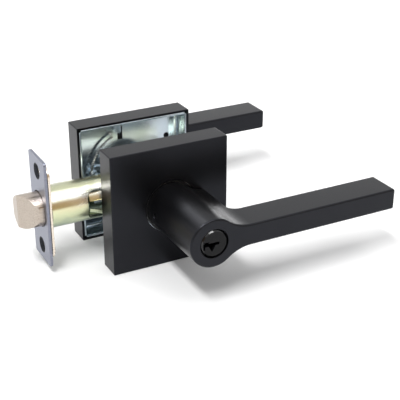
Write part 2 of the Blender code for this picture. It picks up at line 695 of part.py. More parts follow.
def latch_plates(along):
    holes = [circle(FACE_HOLE_DIA / 2, SMALL, (0.0, s * FACE_HOLES / 2)) for s in (-1, 1)]
    mouth = barrel(BOLT_R + BOLT_GAP, BOLT_WIDTH + 2 * BOLT_GAP)
    outline = rectangle(FACE_WIDTH, FACE_HEIGHT, FACE_CORNER)
    face = plate("faceplate", [outline, mouth] + holes, EDGE, FACE_BACK, along, NICKEL)
    sink_depth = (FACE_SINK_DIA - FACE_HOLE_DIA) / 2
    for s in (-1, 1):
        profile = [(0.0, EDGE + sink_depth), (FACE_HOLE_DIA / 2, EDGE + sink_depth),
                   (FACE_SINK_DIA / 2 + EPS, EDGE - EPS), (0.0, EDGE - EPS)]
        sink = lathe(f"faceplate_sink_{s}", profile, SMALL, along, None, (0.0, s * FACE_HOLES / 2))
        boolean(face, sink)
    outline = rectangle(FACE_WIDTH, BACK_HEIGHT, BACK_CORNER)
    bore = circle(TUBE_DIA / 2 + FIT, MEDIUM)
    edge = (FACE_WIDTH - TUBE_DIA) / 2 - FIT
    if edge < BACK_WEB:
        bore = barrel(TUBE_DIA / 2 + FIT, FACE_WIDTH - 2 * BACK_WEB)
    plate("backplate", [outline, bore] + holes, BACK_FRONT, BACK_FRONT + BACK_THICK, along, YELLOW_ZINC)


def latch_tube(along):
    front = BACK_FRONT + BACK_THICK + FIT
    tube = ring("latch_tube", TUBE_DIA / 2, TUBE_BORE_R, front, TUBE_TAIL, MEDIUM, along, YELLOW_ZINC)
    reach = TUBE_DIA / 2 + EPS
    middle = (TUBE_TAIL - WINDOW_LIP - WINDOW_START) / 2
    length = TUBE_TAIL - WINDOW_LIP + WINDOW_START
    outline = rectangle(length, WINDOW_HEIGHT, WINDOW_CORNER, (-middle, 0.0))
    window = plate("tube_window", [outline], -reach, reach, along)
    window.rotation_euler = (0.0, math.radians(90.0), 0.0)
    tongue = block("window_tongue", (-reach - EPS, -TONGUE_WIDTH / 2, -WINDOW_START - EPS),
                   (reach + EPS, TONGUE_WIDTH / 2, TONGUE_LENGTH - WINDOW_START), along)
    boolean(window, tongue)
    boolean(tube, window)
    neck = [rectangle(BAR_THICK + 2 * FIT, BAR_NECK + 2 * FIT, FIT)]
    disc = [circle(TUBE_BORE_R - FIT, MEDIUM)] + neck
    plate("latch_spring_seat", disc, DISC_FRONT, DISC_BACK, along, YELLOW_ZINC)


def latch_bolt(along):
    """Round bar with flat cheeks, bevelled towards the exterior side and rolled over at the heel."""
    bolt = plate("latch_bolt", [barrel(BOLT_R, BOLT_WIDTH)], BOLT_TIP, BOLT_REAR, along, NICKEL)
    half = BOLT_WIDTH / 2
    beside = -half - BOLT_WIDTH
    beyond = BOLT_TIP - BOLT_THROW
    nose = half - BOLT_NOSE
    low = -half - BOLT_RUNOUT
    bevel = math.radians(BOLT_BEVEL)
    heel = BOLT_TIP + (nose - low) / math.tan(bevel) + BOLT_HEEL * math.tan(bevel / 2)
    slope = [(nose, BOLT_TIP)]
    slope += arc((low + BOLT_HEEL, heel), BOLT_HEEL, 180.0 + BOLT_BEVEL, 180.0, FILLET_FACETS)
    slope += [(beside, heel), (beside, beyond), (nose, beyond)]
    wedge = plate("bolt_bevel", [[(y, -x) for y, x in slope]], -TUBE_DIA, TUBE_DIA, along)
    wedge.rotation_euler = (math.radians(-90.0), 0.0, 0.0)
    boolean(bolt, wedge)
    slot = block("bolt_slot", (-BAR_THICK / 2 - FIT, -BAR_NECK / 2 - FIT, BOLT_REAR - BOLT_SLOT),
                 (BAR_THICK / 2 + FIT, BAR_NECK / 2 + FIT, BOLT_REAR + EPS), along)
    boolean(bolt, slot)


def bolt_drawbar(half):
    """Fork that the cam draws back: neck through the spring, arms over and under the cam."""
    neck = BAR_NECK / 2
    start = BOLT_REAR - BOLT_SLOT + FIT
    base = DISC_BACK + 3 * FIT
    lean = math.radians(CAM_FINGER_LEAN)
    lug = -CAM_FINGER_REACH * math.sin(lean) + CAM_FINGER_WIDTH / 2 * math.cos(lean) + 2 * FIT
    end = lug + LUG_WIDTH
    upper = [(base + BAR_BASE, ARM_LOW), (end, ARM_LOW), (end, ARM_TOP), (base, ARM_TOP), (base, neck),
             (start, neck)]
    outline = [(x, -y) for x, y in reversed(upper)] + upper
    bar = plate("bolt_drawbar", [outline], -BAR_THICK / 2, BAR_THICK / 2, half, STEEL)
    for name, low, high in (("upper", ARM_LOW, LUG_TOP), ("lower", -LUG_TOP, -ARM_LOW)):
        tooth = block("drawbar_lug_" + name, (lug, low, -LUG_SPAN / 2),
                      (end - LUG_INSET, high, LUG_SPAN / 2), half)
        boolean(bar, tooth, 'UNION')


def latch_spring(along):
    front = BOLT_REAR + COIL_WIRE / 2 + FIT
    back = DISC_FRONT - COIL_WIRE / 2 - FIT
    sweep = 360.0 * COIL_TURNS
    points = helix(COIL_DIA / 2, 0.0, sweep, front, back, COIL_POINTS)
    wire("latch_spring", points, COIL_WIRE, along, SPRING_STEEL)
    dense = helix(COIL_DIA / 2, 0.0, sweep, front, back, GAP_POINTS)
    print_least_gap("latch_spring", dense, COIL_WIRE)


def retractor_cam(half):
    """Hub on the square drive, with two forked fingers for the drawbar's lugs."""
    body = CAM_BODY / 2
    boss = TUBE_DIA / 2 - FIT
    profile = [(0.0, boss), (CAM_BOSS_DIA / 2, boss), (CAM_BOSS_DIA / 2, body), (CAM_R, body),
               (CAM_R, -body), (CAM_BOSS_DIA / 2, -body), (CAM_BOSS_DIA / 2, -boss), (0.0, -boss)]
    cam = lathe("retractor_cam", profile, MEDIUM, half, ZINC)
    span = LUG_SPAN / 2
    slit = BAR_THICK / 2 + 2 * FIT
    for name, aim in (("upper", CAM_FINGER_LEAN), ("lower", 180.0 - CAM_FINGER_LEAN)):
        for cheek, low, high in (("outer", slit, span), ("inner", -span, -slit)):
            finger = block(f"cam_finger_{name}_{cheek}", (-CAM_FINGER_WIDTH / 2, CAM_FINGER_ROOT, low),
                           (CAM_FINGER_WIDTH / 2, CAM_FINGER_REACH, high), half)
            finger.rotation_euler = (0.0, 0.0, math.radians(aim))
            boolean(cam, finger, 'UNION')
    reach = DRIVE_SQUARE / 2 + FIT
    boolean(cam, block("cam_square", (-reach, -reach, -boss - EPS), (reach, reach, boss + EPS), half))


clear_scene()
PARTS = new_collection("lever_lockset")
CUTTERS = new_collection("lever_lockset_cutters")

BLACK = new_material("black_powder_coat", (0.017, 0.017, 0.018), 0.48, 0.0)
BLACK_SATIN = new_material("black_satin_metal", (0.020, 0.020, 0.021), 0.38, 0.4)
NYLON = new_material("black_nylon", (0.012, 0.012, 0.012), 0.60, 0.0)
ZINC = new_material("bright_zinc", (0.58, 0.61, 0.63), 0.28, 1.0)
STEEL = new_material("plain_steel", (0.48, 0.48, 0.47), 0.35, 1.0)
SPRING_STEEL = new_material("spring_steel", (0.40, 0.40, 0.39), 0.30, 1.0)
BRASS = new_material("brass", (0.72, 0.52, 0.22), 0.35, 1.0)
NICKEL = new_material("satin_nickel", (0.62, 0.57, 0.52), 0.36, 1.0)
YELLOW_ZINC = new_material("yellow_zinc", (0.80, 0.68, 0.36), 0.26, 1.0)

# Local x stays world X in both halves, and local z points out of the door.
EXTERIOR = new_frame("exterior_half", ((1, 0, 0), (0, 0, 1), (0, -1, 0)))
INTERIOR = new_frame("interior_half", ((1, 0, 0), (0, 0, -1), (0, 1, 0)))
LATCH = new_frame("latch_axis", ((0, 1, 0), (0, 0, 1), (1, 0, 0)))

for SIDE, HALF, UP in (("exterior", EXTERIOR, 1), ("interior", INTERIOR, -1)):
    rose_cover(SIDE, HALF)
    rose_bush(SIDE, HALF)
    mounting_plate(SIDE, HALF, UP, SIDE == "interior")
    HANDLE = lever(SIDE, HALF)
    if SIDE == "exterior":
        release_hole(SIDE, HANDLE, HALF)
    spindle(SIDE, HALF)
    retaining_ring(SIDE, HALF, UP)
    spring_driver(SIDE, HALF, UP)
    return_spring(SIDE, HALF, UP)

drive_spindle(EXTERIOR)
key_cylinder(EXTERIOR)
turn_button(INTERIOR)
through_fixings(EXTERIOR, INTERIOR)
latch_plates(LATCH)
latch_tube(LATCH)
latch_bolt(LATCH)
bolt_drawbar(EXTERIOR)
latch_spring(LATCH)
retractor_cam(EXTERIOR)
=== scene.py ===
# %% [markdown]
# # A black lever lockset, piece by piece
# This lesson dresses a keyed door lever: two square roses, two levers, and the spring latch that they draw
# back. The solids of every piece, and the way they move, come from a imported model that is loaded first. Each
# visible piece is then modelled again with softer edges, or takes a finer copy of its solid, and gets a
# finish.

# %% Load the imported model
import json
import math

import bmesh
import bpy
from mathutils import Matrix, Vector


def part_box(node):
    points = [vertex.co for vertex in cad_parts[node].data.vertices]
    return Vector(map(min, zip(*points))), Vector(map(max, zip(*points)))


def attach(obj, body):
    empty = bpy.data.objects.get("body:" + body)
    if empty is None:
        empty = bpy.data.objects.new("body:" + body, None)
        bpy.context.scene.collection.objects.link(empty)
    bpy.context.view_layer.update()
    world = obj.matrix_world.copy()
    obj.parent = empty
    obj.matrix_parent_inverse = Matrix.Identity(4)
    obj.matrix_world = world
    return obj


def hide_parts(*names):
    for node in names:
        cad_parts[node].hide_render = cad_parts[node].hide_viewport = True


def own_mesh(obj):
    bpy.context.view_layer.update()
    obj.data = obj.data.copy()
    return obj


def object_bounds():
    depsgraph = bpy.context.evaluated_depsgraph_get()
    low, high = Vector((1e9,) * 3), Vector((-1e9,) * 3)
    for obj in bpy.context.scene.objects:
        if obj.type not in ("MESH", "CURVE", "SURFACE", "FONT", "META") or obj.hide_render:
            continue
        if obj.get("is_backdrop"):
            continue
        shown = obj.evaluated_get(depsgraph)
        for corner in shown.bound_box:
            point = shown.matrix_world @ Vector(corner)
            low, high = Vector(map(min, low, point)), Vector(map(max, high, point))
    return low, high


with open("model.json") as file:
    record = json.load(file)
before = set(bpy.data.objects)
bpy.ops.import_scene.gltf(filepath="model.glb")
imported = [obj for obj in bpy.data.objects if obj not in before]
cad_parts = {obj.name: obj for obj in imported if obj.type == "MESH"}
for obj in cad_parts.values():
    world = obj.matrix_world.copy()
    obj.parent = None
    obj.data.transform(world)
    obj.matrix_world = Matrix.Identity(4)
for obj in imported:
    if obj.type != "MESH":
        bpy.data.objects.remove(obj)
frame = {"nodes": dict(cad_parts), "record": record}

MM = 0.001
CAD_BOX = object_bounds()
NODES = frame["nodes"]
BODY_OF = {node: body for body, nodes in frame["record"]["behaviour"]["bodies"].items() for node in nodes}
SLOT_OF = {part["node"]: part["material_slot"] for part in frame["record"]["subparts"]}

# %% [markdown]
# ## The camera
# A product photograph is usually taken with a long lens, so that square things stay square. The camera could
# be moved by eye until the outlines agree. Here its place was solved from the corners of the roses and the
# ends of the levers, so it is written down as a heading, a tilt, a distance and a lens.

# %% Camera
HEADING = math.radians(27.711)
TILT = math.radians(25.548)
DISTANCE = 536.014 * MM
AIM = Vector((31.479, 0.0, -15.705)) * MM
LENS = 87.246
FULL_FRAME = 36.0
NEAREST = 10 * MM

look = Vector((math.sin(HEADING) * math.cos(TILT), math.cos(HEADING) * math.cos(TILT), -math.sin(TILT)))
right = Vector((math.cos(HEADING), -math.sin(HEADING), 0.0))
up = right.cross(look)
bpy.ops.object.camera_add(location=AIM - look * DISTANCE)
camera = bpy.context.object
camera.rotation_euler = Matrix((right, up, -look)).transposed().to_euler()
camera.data.lens = LENS
camera.data.sensor_width = FULL_FRAME
camera.data.sensor_fit = 'HORIZONTAL'
camera.data.clip_start = NEAREST
bpy.context.scene.camera = camera
print("camera at", [round(c / MM, 1) for c in camera.location], "mm")

# %% [markdown]
# ## Colours and nodes
# Colours are picked on a screen as sRGB hex values, and Blender's shaders want linear light, so one function
# converts. A second small function adds a node, sets its properties and links its inputs, and that is all a
# material needs.

# %% Colour and node helpers


def colour(code):
    """Linear RGBA of an sRGB hex value such as #1b1b1d."""
    channels = [int(code[at:at + 2], 16) / 255 for at in (1, 3, 5)]
    linear = [c / 12.92 if c <= 0.04045 else ((c + 0.055) / 1.055) ** 2.4 for c in channels]
    return (*linear, 1.0)


def add(tree, kind, inputs=None, stops=(), **settings):
    """A node whose inputs are values, or outputs of other nodes. Colour stops are (position, hex)."""
    made = tree.nodes.new(kind)
    for at, (position, code) in enumerate(stops):
        if at == len(made.color_ramp.elements):
            made.color_ramp.elements.new(position)
        made.color_ramp.elements[at].position = position
        made.color_ramp.elements[at].color = colour(code)
    for name, value in settings.items():
        setattr(made, name, value)
    for socket, value in (inputs or {}).items():
        if isinstance(value, bpy.types.NodeSocket):
            tree.links.new(value, made.inputs[socket])
        else:
            made.inputs[socket].default_value = value
    return made


def blank(name):
    """A new material with an empty node tree, and that tree."""
    material = bpy.data.materials.new(name)
    material.use_nodes = True
    material.node_tree.nodes.clear()
    return material, material.node_tree


print("half grey on a screen is", round(colour("#808080")[0], 3), "in linear light")

# %% [markdown]
# ## White floor and white room
# The lockset was shot on a white sweep that runs out into a white background. The floor is a pale card, so
# that it keeps its shadows, with a little glow where the picture looks at it. The room is pure white to the
# eye and in reflections, and dimmer as a light, so that it doesn't wash the shadows out.

# %% Floor and world
scene = bpy.context.scene
scene.view_settings.view_transform = 'Standard'
FLOOR_Z = CAD_BOX[0].z
FLOOR_SIZE = 6.0
FLOOR_GLOW = 0.05
SKY_LEVEL = 0.60


def to_the_eye(tree):
    """1 on rays that the eye follows, even by mirror or through glass, and 0 on rays that light things."""
    path = add(tree, 'ShaderNodeLightPath')
    seen = path.outputs['Is Camera Ray']
    for kind in ('Is Glossy Ray', 'Is Transmission Ray'):
        seen = add(tree, 'ShaderNodeMath', {0: seen, 1: path.outputs[kind]}, operation='MAXIMUM').outputs[0]
    return seen


white, tree = blank("white_sweep")
lift = add(tree, 'ShaderNodeMath', {0: to_the_eye(tree), 1: FLOOR_GLOW}, operation='MULTIPLY')
paper = add(tree, 'ShaderNodeBsdfDiffuse', {'Color': colour("#f2f2f2")})
glow = add(tree, 'ShaderNodeEmission', {'Color': colour("#ffffff"), 'Strength': lift.outputs[0]})
both = add(tree, 'ShaderNodeAddShader', {0: paper.outputs[0], 1: glow.outputs[0]})
add(tree, 'ShaderNodeOutputMaterial', {'Surface': both.outputs[0]})

bpy.ops.object.select_all(action='DESELECT')
bpy.ops.mesh.primitive_plane_add(size=FLOOR_SIZE, location=(0.0, 0.0, FLOOR_Z))
floor = bpy.context.object
floor.name = "floor"
floor.data.materials.append(white)
floor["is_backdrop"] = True

world = bpy.data.worlds.new("white_studio")
scene.world = world
world.use_nodes = True
tree = world.node_tree
tree.nodes.clear()
level = add(tree, 'ShaderNodeMapRange', {'Value': to_the_eye(tree), 'To Min': SKY_LEVEL, 'To Max': 1.0})
sky = add(tree, 'ShaderNodeBackground', {'Color': colour("#ffffff"), 'Strength': level.outputs[0]})
add(tree, 'ShaderNodeOutputWorld', {'Surface': sky.outputs[0]})
print("floor at", round(FLOOR_Z / MM, 2), "mm")

# %% [markdown]
# ## Softboxes
# A long key strip on the left gives most of the light, and the soft shadow of the front lever. A broad box
# overhead and a smaller one at the back lift the tops, and a low strip from behind catches the hollow
# between hub and grip. A strip above the camera draws the short bright arc on the rim of the key plug. It is
# kept out of the diffuse light, so that it adds highlights and nothing else. Places are in metres.

# %% Softboxes


def softbox(name, place, target, width, length, watts):
    """A lamp of a width and a length that faces a point."""
    bpy.ops.object.light_add(type='AREA', location=place)
    lamp = bpy.context.object
    lamp.name = name
    lamp.data.shape = 'RECTANGLE'
    lamp.data.size = width
    lamp.data.size_y = length
    lamp.data.energy = watts
    lamp.rotation_euler = (Vector(target) - Vector(place)).to_track_quat('-Z', 'Y').to_euler()
    return lamp


softbox("key_strip", place=(-1.15, -0.92, 2.85), target=(0.02, -0.92, 0.0), width=1.80, length=0.40,
        watts=70.0)
softbox("top_softbox", place=(0.75, -0.60, 3.00), target=(0.02, 0.0, 0.0), width=2.40, length=2.40,
        watts=18.0)
softbox("back_softbox", place=(-0.35, 1.60, 1.90), target=(0.02, 0.0, 0.0), width=1.40, length=1.00,
        watts=12.0)
softbox("low_strip", place=(1.05, 1.45, 0.10), target=(0.02, -0.06, 0.0), width=1.20, length=0.28, watts=2.4)
rim_strip = softbox("rim_strip", place=(0.12, -1.66, 2.55), target=(0.0, -0.07, 0.0), width=1.60, length=0.40,
                    watts=28.0)
rim_strip.visible_diffuse = False
print("softboxes:", len(bpy.data.lights))

# %% [markdown]
# ## Cards for the reflections
# Shiny things take their look from what stands round them. A brown card in front of the set stands for the
# dark side of the studio and draws the brown band along the latch tube. A pale grey card behind takes the
# glare off the black tops. A photographer would keep both just out of the frame. Here they show in
# reflections alone.

# %% Cards


def reflected_card(name, material, place, width, height, heading=0.0):
    """An upright card that only reflections see."""
    bpy.ops.mesh.primitive_plane_add(size=1.0, location=place)
    card = bpy.context.object
    card.name = name
    card.scale = (width, height, 1.0)
    card.rotation_euler = (math.radians(90.0), 0.0, math.radians(heading))
    card.data.materials.append(material)
    card.visible_camera = False
    card.visible_shadow = False
    card.visible_diffuse = False
    card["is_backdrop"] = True


brown_card, tree = blank("brown_card")
paper = add(tree, 'ShaderNodeBsdfDiffuse', {'Color': colour("#b8a286")})
add(tree, 'ShaderNodeOutputMaterial', {'Surface': paper.outputs[0]})
reflected_card("front_flag", brown_card, place=(0.0, -0.85, 0.32), width=2.4, height=0.64)

grey_card, tree = blank("grey_card")
glow = add(tree, 'ShaderNodeEmission', {'Color': colour("#ffffff"), 'Strength': 0.86})
add(tree, 'ShaderNodeOutputMaterial', {'Surface': glow.outputs[0]})
reflected_card("back_card", grey_card, place=(0.77, 1.28, 0.66), width=1.5, height=0.76, heading=-31.0)
print("cards: front_flag and back_card")

# %% [markdown]
# ## Black powder coat
# Roses and levers are zinc castings with a matte polyester powder coat. Powder melts into a skin with a
# faint orange peel, under a millimetre across, so highlights are broad and slightly grainy, on a near-black
# with a cool sheen. The grain is drawn at 0.9 mm, a little coarser than real, so that it shows at this size.
# A coat usually has an IOR near 1.5. At 1.36 its faces are as dark as the photograph's.

# %% Powder coat
powder, tree = blank("black_powder_coat")
place = add(tree, 'ShaderNodeTexCoord').outputs['Object']
peel = add(tree, 'ShaderNodeTexNoise', {'Vector': place, 'Scale': 1 / (0.9 * MM), 'Detail': 2.0})
cloud = add(tree, 'ShaderNodeTexNoise', {'Vector': place, 'Scale': 1 / (14 * MM), 'Detail': 3.0})
tint = add(tree, 'ShaderNodeValToRGB', {'Fac': cloud.outputs['Fac']}, [(0.35, "#060607"), (0.65, "#0a0a0b")])
rough = add(tree, 'ShaderNodeMapRange', {'Value': peel.outputs['Fac'], 'From Min': 0.3, 'From Max': 0.7,
                                         'To Min': 0.28, 'To Max': 0.34})
bump = add(tree, 'ShaderNodeBump', {'Strength': 0.06, 'Distance': 0.03 * MM, 'Height': peel.outputs['Fac']})
skin = add(tree, 'ShaderNodeBsdfPrincipled', {'Base Color': tint.outputs[0], 'Roughness': rough.outputs[0],
                                              'Normal': bump.outputs[0], 'IOR': 1.36,
                                              'Specular Tint': colour("#e9edff")})
add(tree, 'ShaderNodeOutputMaterial', {'Surface': skin.outputs[0]})
print(powder.name, "has", len(tree.nodes), "nodes")

# %% [markdown]
# ## Satin black plating
# The key plug and turn button are brass under a thin black plating, a little glossier than the powder coat,
# with a fine grit that is drawn at 0.7 mm. The plug's rim is burnished smoother, so that it can catch a
# bright arc of light.

# %% Plated black


def plated_black(name, low, high, ior):
    """Black plating whose grit wanders between two roughnesses."""
    material, tree = blank(name)
    place = add(tree, 'ShaderNodeTexCoord').outputs['Object']
    grit = add(tree, 'ShaderNodeTexNoise', {'Vector': place, 'Scale': 1 / (0.7 * MM), 'Detail': 2.0})
    tint = add(tree, 'ShaderNodeValToRGB', {'Fac': grit.outputs['Fac']},
               [(0.35, "#09090b"), (0.65, "#0e0e10")])
    rough = add(tree, 'ShaderNodeMapRange', {'Value': grit.outputs['Fac'], 'To Min': low, 'To Max': high})
    skin = add(tree, 'ShaderNodeBsdfPrincipled', {'Base Color': tint.outputs[0],
                                                  'Roughness': rough.outputs[0], 'IOR': ior})
    add(tree, 'ShaderNodeOutputMaterial', {'Surface': skin.outputs[0]})
    return material


satin_black = plated_black("black_plated_brass", low=0.15, high=0.22, ior=1.27)
burnished = plated_black("burnished_black_plating", low=0.10, high=0.14, ior=1.5)
print("plating:", satin_black.name, "and", burnished.name)

# %% [markdown]
# ## Black nylon
# The bushes that the hubs turn in are moulded nylon. The mould leaves a fine pebble on it, drawn at 0.6 mm,
# so it looks even and dark beside the coated metal.

# %% Nylon
nylon, tree = blank("black_nylon")
place = add(tree, 'ShaderNodeTexCoord').outputs['Object']
mould = add(tree, 'ShaderNodeTexNoise', {'Vector': place, 'Scale': 1 / (0.6 * MM), 'Detail': 2.0})
tint = add(tree, 'ShaderNodeValToRGB', {'Fac': mould.outputs['Fac']}, [(0.3, "#0d0d0e"), (0.7, "#141415")])
bump = add(tree, 'ShaderNodeBump', {'Strength': 0.2, 'Distance': 0.02 * MM, 'Height': mould.outputs['Fac']})
skin = add(tree, 'ShaderNodeBsdfPrincipled', {'Base Color': tint.outputs[0], 'Roughness': 0.20,
                                              'Normal': bump.outputs[0], 'IOR': 1.36})
add(tree, 'ShaderNodeOutputMaterial', {'Surface': skin.outputs[0]})
print(nylon.name, "has", len(tree.nodes), "nodes")

# %% [markdown]
# ## Bright zinc plate
# The trays, posts and screws are pressed or turned steel with a thin zinc plate and a clear blue
# passivation. It mirrors the room in soft cloudy patches of blue-white, a few centimetres across, and keeps
# faint rolling lines.

# %% Bright zinc
zinc, tree = blank("bright_zinc_plate")
place = add(tree, 'ShaderNodeTexCoord').outputs['Object']
cloud = add(tree, 'ShaderNodeTexNoise', {'Vector': place, 'Scale': 1 / (26 * MM), 'Detail': 2.0,
                                         'Distortion': 0.3})
stretch = add(tree, 'ShaderNodeMapping', {'Vector': place,
                                          'Scale': (1 / (40 * MM), 1 / (40 * MM), 1 / (0.7 * MM))})
rolled = add(tree, 'ShaderNodeTexNoise', {'Vector': stretch.outputs[0], 'Scale': 1.0, 'Detail': 2.0})
tint = add(tree, 'ShaderNodeValToRGB', {'Fac': cloud.outputs['Fac']},
           [(0.30, "#b6c1c9"), (0.50, "#c6d2db"), (0.70, "#c3cbd0")])
rough = add(tree, 'ShaderNodeMapRange', {'Value': cloud.outputs['Fac'], 'From Min': 0.3, 'From Max': 0.7,
                                         'To Min': 0.17, 'To Max': 0.25})
bump = add(tree, 'ShaderNodeBump', {'Strength': 0.12, 'Distance': 0.02 * MM, 'Height': rolled.outputs['Fac']})
skin = add(tree, 'ShaderNodeBsdfPrincipled', {'Base Color': tint.outputs[0], 'Metallic': 1.0,
                                              'Roughness': rough.outputs[0], 'Normal': bump.outputs[0]})
add(tree, 'ShaderNodeOutputMaterial', {'Surface': skin.outputs[0]})
print(zinc.name, "has", len(tree.nodes), "nodes")

# %% [markdown]
# ## Yellow chromate zinc, with painted highlight bands
# The latch tube is zinc plated and dipped in yellow chromate. The film is thin enough to show
# interference colours, with drifts several millimetres across. The colour also follows the height, in the
# bands of the tube's reflections: grey-green below, straw at the middle, nearly white higher up and
# greenish again along the top. These height bands are painted reflections, and the nearly white one is a
# painted highlight.

# %% Yellow zinc
HIGHLIGHT_BAND_REACH = 11 * MM
yellow, tree = blank("yellow_chromate_painted_highlight")
place = add(tree, 'ShaderNodeTexCoord').outputs['Object']
stretch = add(tree, 'ShaderNodeMapping', {'Vector': place,
                                          'Scale': (1 / (22 * MM), 1 / (9 * MM), 1 / (9 * MM))})
drift = add(tree, 'ShaderNodeTexNoise', {'Vector': stretch.outputs[0], 'Scale': 1.0, 'Detail': 3.0,
                                         'Distortion': 0.8})
axes = add(tree, 'ShaderNodeSeparateXYZ', {'Vector': place})
# The colour by height is painted light: it lays the tube's reflected bands into the colour.
height = add(tree, 'ShaderNodeMapRange', {'Value': axes.outputs['Z'], 'From Min': -HIGHLIGHT_BAND_REACH,
                                          'From Max': HIGHLIGHT_BAND_REACH, 'To Min': -0.27, 'To Max': 0.73})
film_and_highlight = add(tree, 'ShaderNodeMath', {0: drift.outputs['Fac'], 1: 0.55}, operation='MULTIPLY')
film_and_highlight = add(tree, 'ShaderNodeMath', {0: film_and_highlight.outputs[0], 1: height.outputs[0]}, operation='ADD')
# Stops by height: the nearly white stop at 0.82 is a painted highlight, the others painted reflections.
tint = add(tree, 'ShaderNodeValToRGB', {'Fac': film_and_highlight.outputs[0]},
           [(0.14, "#a6b3a0"), (0.40, "#d3d8b2"), (0.61, "#dcd5b0"), (0.82, "#f4f2ea"), (1.0, "#c4c6a8")])
rough = add(tree, 'ShaderNodeMapRange', {'Value': drift.outputs['Fac'], 'From Min': 0.3, 'From Max': 0.7,
                                         'To Min': 0.18, 'To Max': 0.30})
skin = add(tree, 'ShaderNodeBsdfPrincipled', {'Base Color': tint.outputs[0], 'Metallic': 1.0,
                                              'Roughness': rough.outputs[0]})
add(tree, 'ShaderNodeOutputMaterial', {'Surface': skin.outputs[0]})
print(yellow.name, "has", len(tree.nodes), "nodes")

# %% [markdown]
# ## Brushed and drawn metals
# The bolt and faceplate are nickel plated and brushed, so fine lines run along them and soften the
# reflection. The plate behind has a paler chromate. The countersinks and walls of the faceplate's punched
# screw holes are painted dark grey: a painted shade for the shadow deep in the holes.
# Spindles are plain drawn steel, springs are wire with lengthwise die lines, and brass is turned. Real lines
# are finer than half a millimetre, and are drawn coarser here so that they don't vanish.

# %% Nickel, steel, wire and brass


def drawn_metal(name, dark, light, low, high, spacing):
    """A metal whose fine lines, a spacing apart, run along X, between two colours and two roughnesses."""
    material, tree = blank(name)
    place = add(tree, 'ShaderNodeTexCoord').outputs['Object']
    stretch = add(tree, 'ShaderNodeMapping', {'Vector': place,
                                              'Scale': (1 / (12 * MM), 1 / spacing, 1 / spacing)})
    lines = add(tree, 'ShaderNodeTexNoise', {'Vector': stretch.outputs[0], 'Scale': 1.0, 'Detail': 3.0})
    tint = add(tree, 'ShaderNodeValToRGB', {'Fac': lines.outputs['Fac']}, [(0.3, dark), (0.7, light)])
    rough = add(tree, 'ShaderNodeMapRange', {'Value': lines.outputs['Fac'], 'From Min': 0.3, 'From Max': 0.7,
                                             'To Min': low, 'To Max': high})
    bump = add(tree, 'ShaderNodeBump', {'Strength': 0.15, 'Distance': 0.01 * MM,
                                        'Height': lines.outputs['Fac']})
    skin = add(tree, 'ShaderNodeBsdfPrincipled', {'Base Color': tint.outputs[0], 'Metallic': 1.0,
                                                  'Roughness': rough.outputs[0], 'Normal': bump.outputs[0]})
    add(tree, 'ShaderNodeOutputMaterial', {'Surface': skin.outputs[0]})
    return material


nickel = drawn_metal("satin_nickel_plate", "#a99e93", "#bdb3a8", low=0.26, high=0.36, spacing=0.5 * MM)
face_steel = drawn_metal("brushed_nickel_plate", "#7c7f8c", "#8f929f", low=0.30, high=0.42, spacing=0.5 * MM)
# A dark grey painted shade for the faceplate's screw holes, standing for the shadow deep inside them.
hole_shade = drawn_metal("painted_hole_shade", "#2a2b2e", "#3a3b3f", low=0.40, high=0.50, spacing=0.5 * MM)
pale_chromate = drawn_metal("pale_chromate_zinc", "#dccfbe", "#ece2d4", low=0.24, high=0.34, spacing=0.6 * MM)
steel = drawn_metal("plain_drawn_steel", "#8f8f8c", "#a6a6a2", low=0.28, high=0.42, spacing=0.6 * MM)
spring_wire = drawn_metal("spring_wire", "#9a9a98", "#bdbdba", low=0.20, high=0.32, spacing=0.5 * MM)
brass = drawn_metal("turned_brass", "#b3924e", "#c9a962", low=0.28, high=0.40, spacing=0.6 * MM)

FINISHES = {"black_powder_coat": powder, "black_satin_metal": satin_black, "black_nylon": nylon,
            "bright_zinc": zinc, "plain_steel": steel, "spring_steel": spring_wire, "brass": brass,
            "satin_nickel": nickel, "yellow_zinc": yellow}
for node, thing in NODES.items():
    thing.data.materials.clear()
    thing.data.materials.append(FINISHES[SLOT_OF[node]])
print("finishes:", ", ".join(sorted(FINISHES)))

# %% [markdown]
# ## Starting shapes
# In Blender's window a piece begins as a primitive: a box, a bar or a cone. These helpers add one between
# two places and move its place into its mesh, so that every finished piece is already where it belongs. All
# sizes below are in millimetres. A cutting tool runs a millimetre past what it cuts, so that no skin is
# left.

# %% Starting shapes
OVER = 1.0
TURN_TO = {'X': (0.0, math.radians(90.0), 0.0), 'Y': (math.radians(-90.0), 0.0, 0.0), 'Z': (0.0, 0.0, 0.0)}


def box_mm(node):
    """The two corners of a solid's box, in millimetres."""
    low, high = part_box(node)
    return low / MM, high / MM


def rest():
    """Back in object mode, with nothing selected."""
    if bpy.context.mode != 'OBJECT':
        bpy.ops.object.mode_set(mode='OBJECT')
    bpy.ops.object.select_all(action='DESELECT')


def only(piece):
    """Object mode, with one piece selected."""
    rest()
    piece.select_set(True)
    bpy.context.view_layer.objects.active = piece


def settle(name):
    """Name the new primitive and move its place into its mesh."""
    piece = bpy.context.object
    piece.name = name
    bpy.ops.object.transform_apply(location=True, rotation=True, scale=True)
    return piece


def slab(name, low, high):
    """A box between two corners."""
    rest()
    low, high = Vector(low) * MM, Vector(high) * MM
    bpy.ops.mesh.primitive_cube_add(size=1.0, location=(low + high) / 2, scale=high - low)
    return settle(name)


def bar(name, radius, low, high, axis='Y', sides=96, centre=(0.0, 0.0), far_radius=None):
    """A round bar, or a cone, from low to high along an axis."""
    rest()
    half_way = (low + high) / 2
    place = {'X': (half_way, *centre), 'Y': (centre[0], half_way, centre[1]), 'Z': (*centre, half_way)}[axis]
    far = radius if far_radius is None else far_radius
    bpy.ops.mesh.primitive_cone_add(vertices=sides, radius1=radius * MM, radius2=far * MM,
                                    depth=(high - low) * MM, location=Vector(place) * MM,
                                    rotation=TURN_TO[axis])
    return settle(name)


print("cutting tools run", OVER, "mm past the piece")

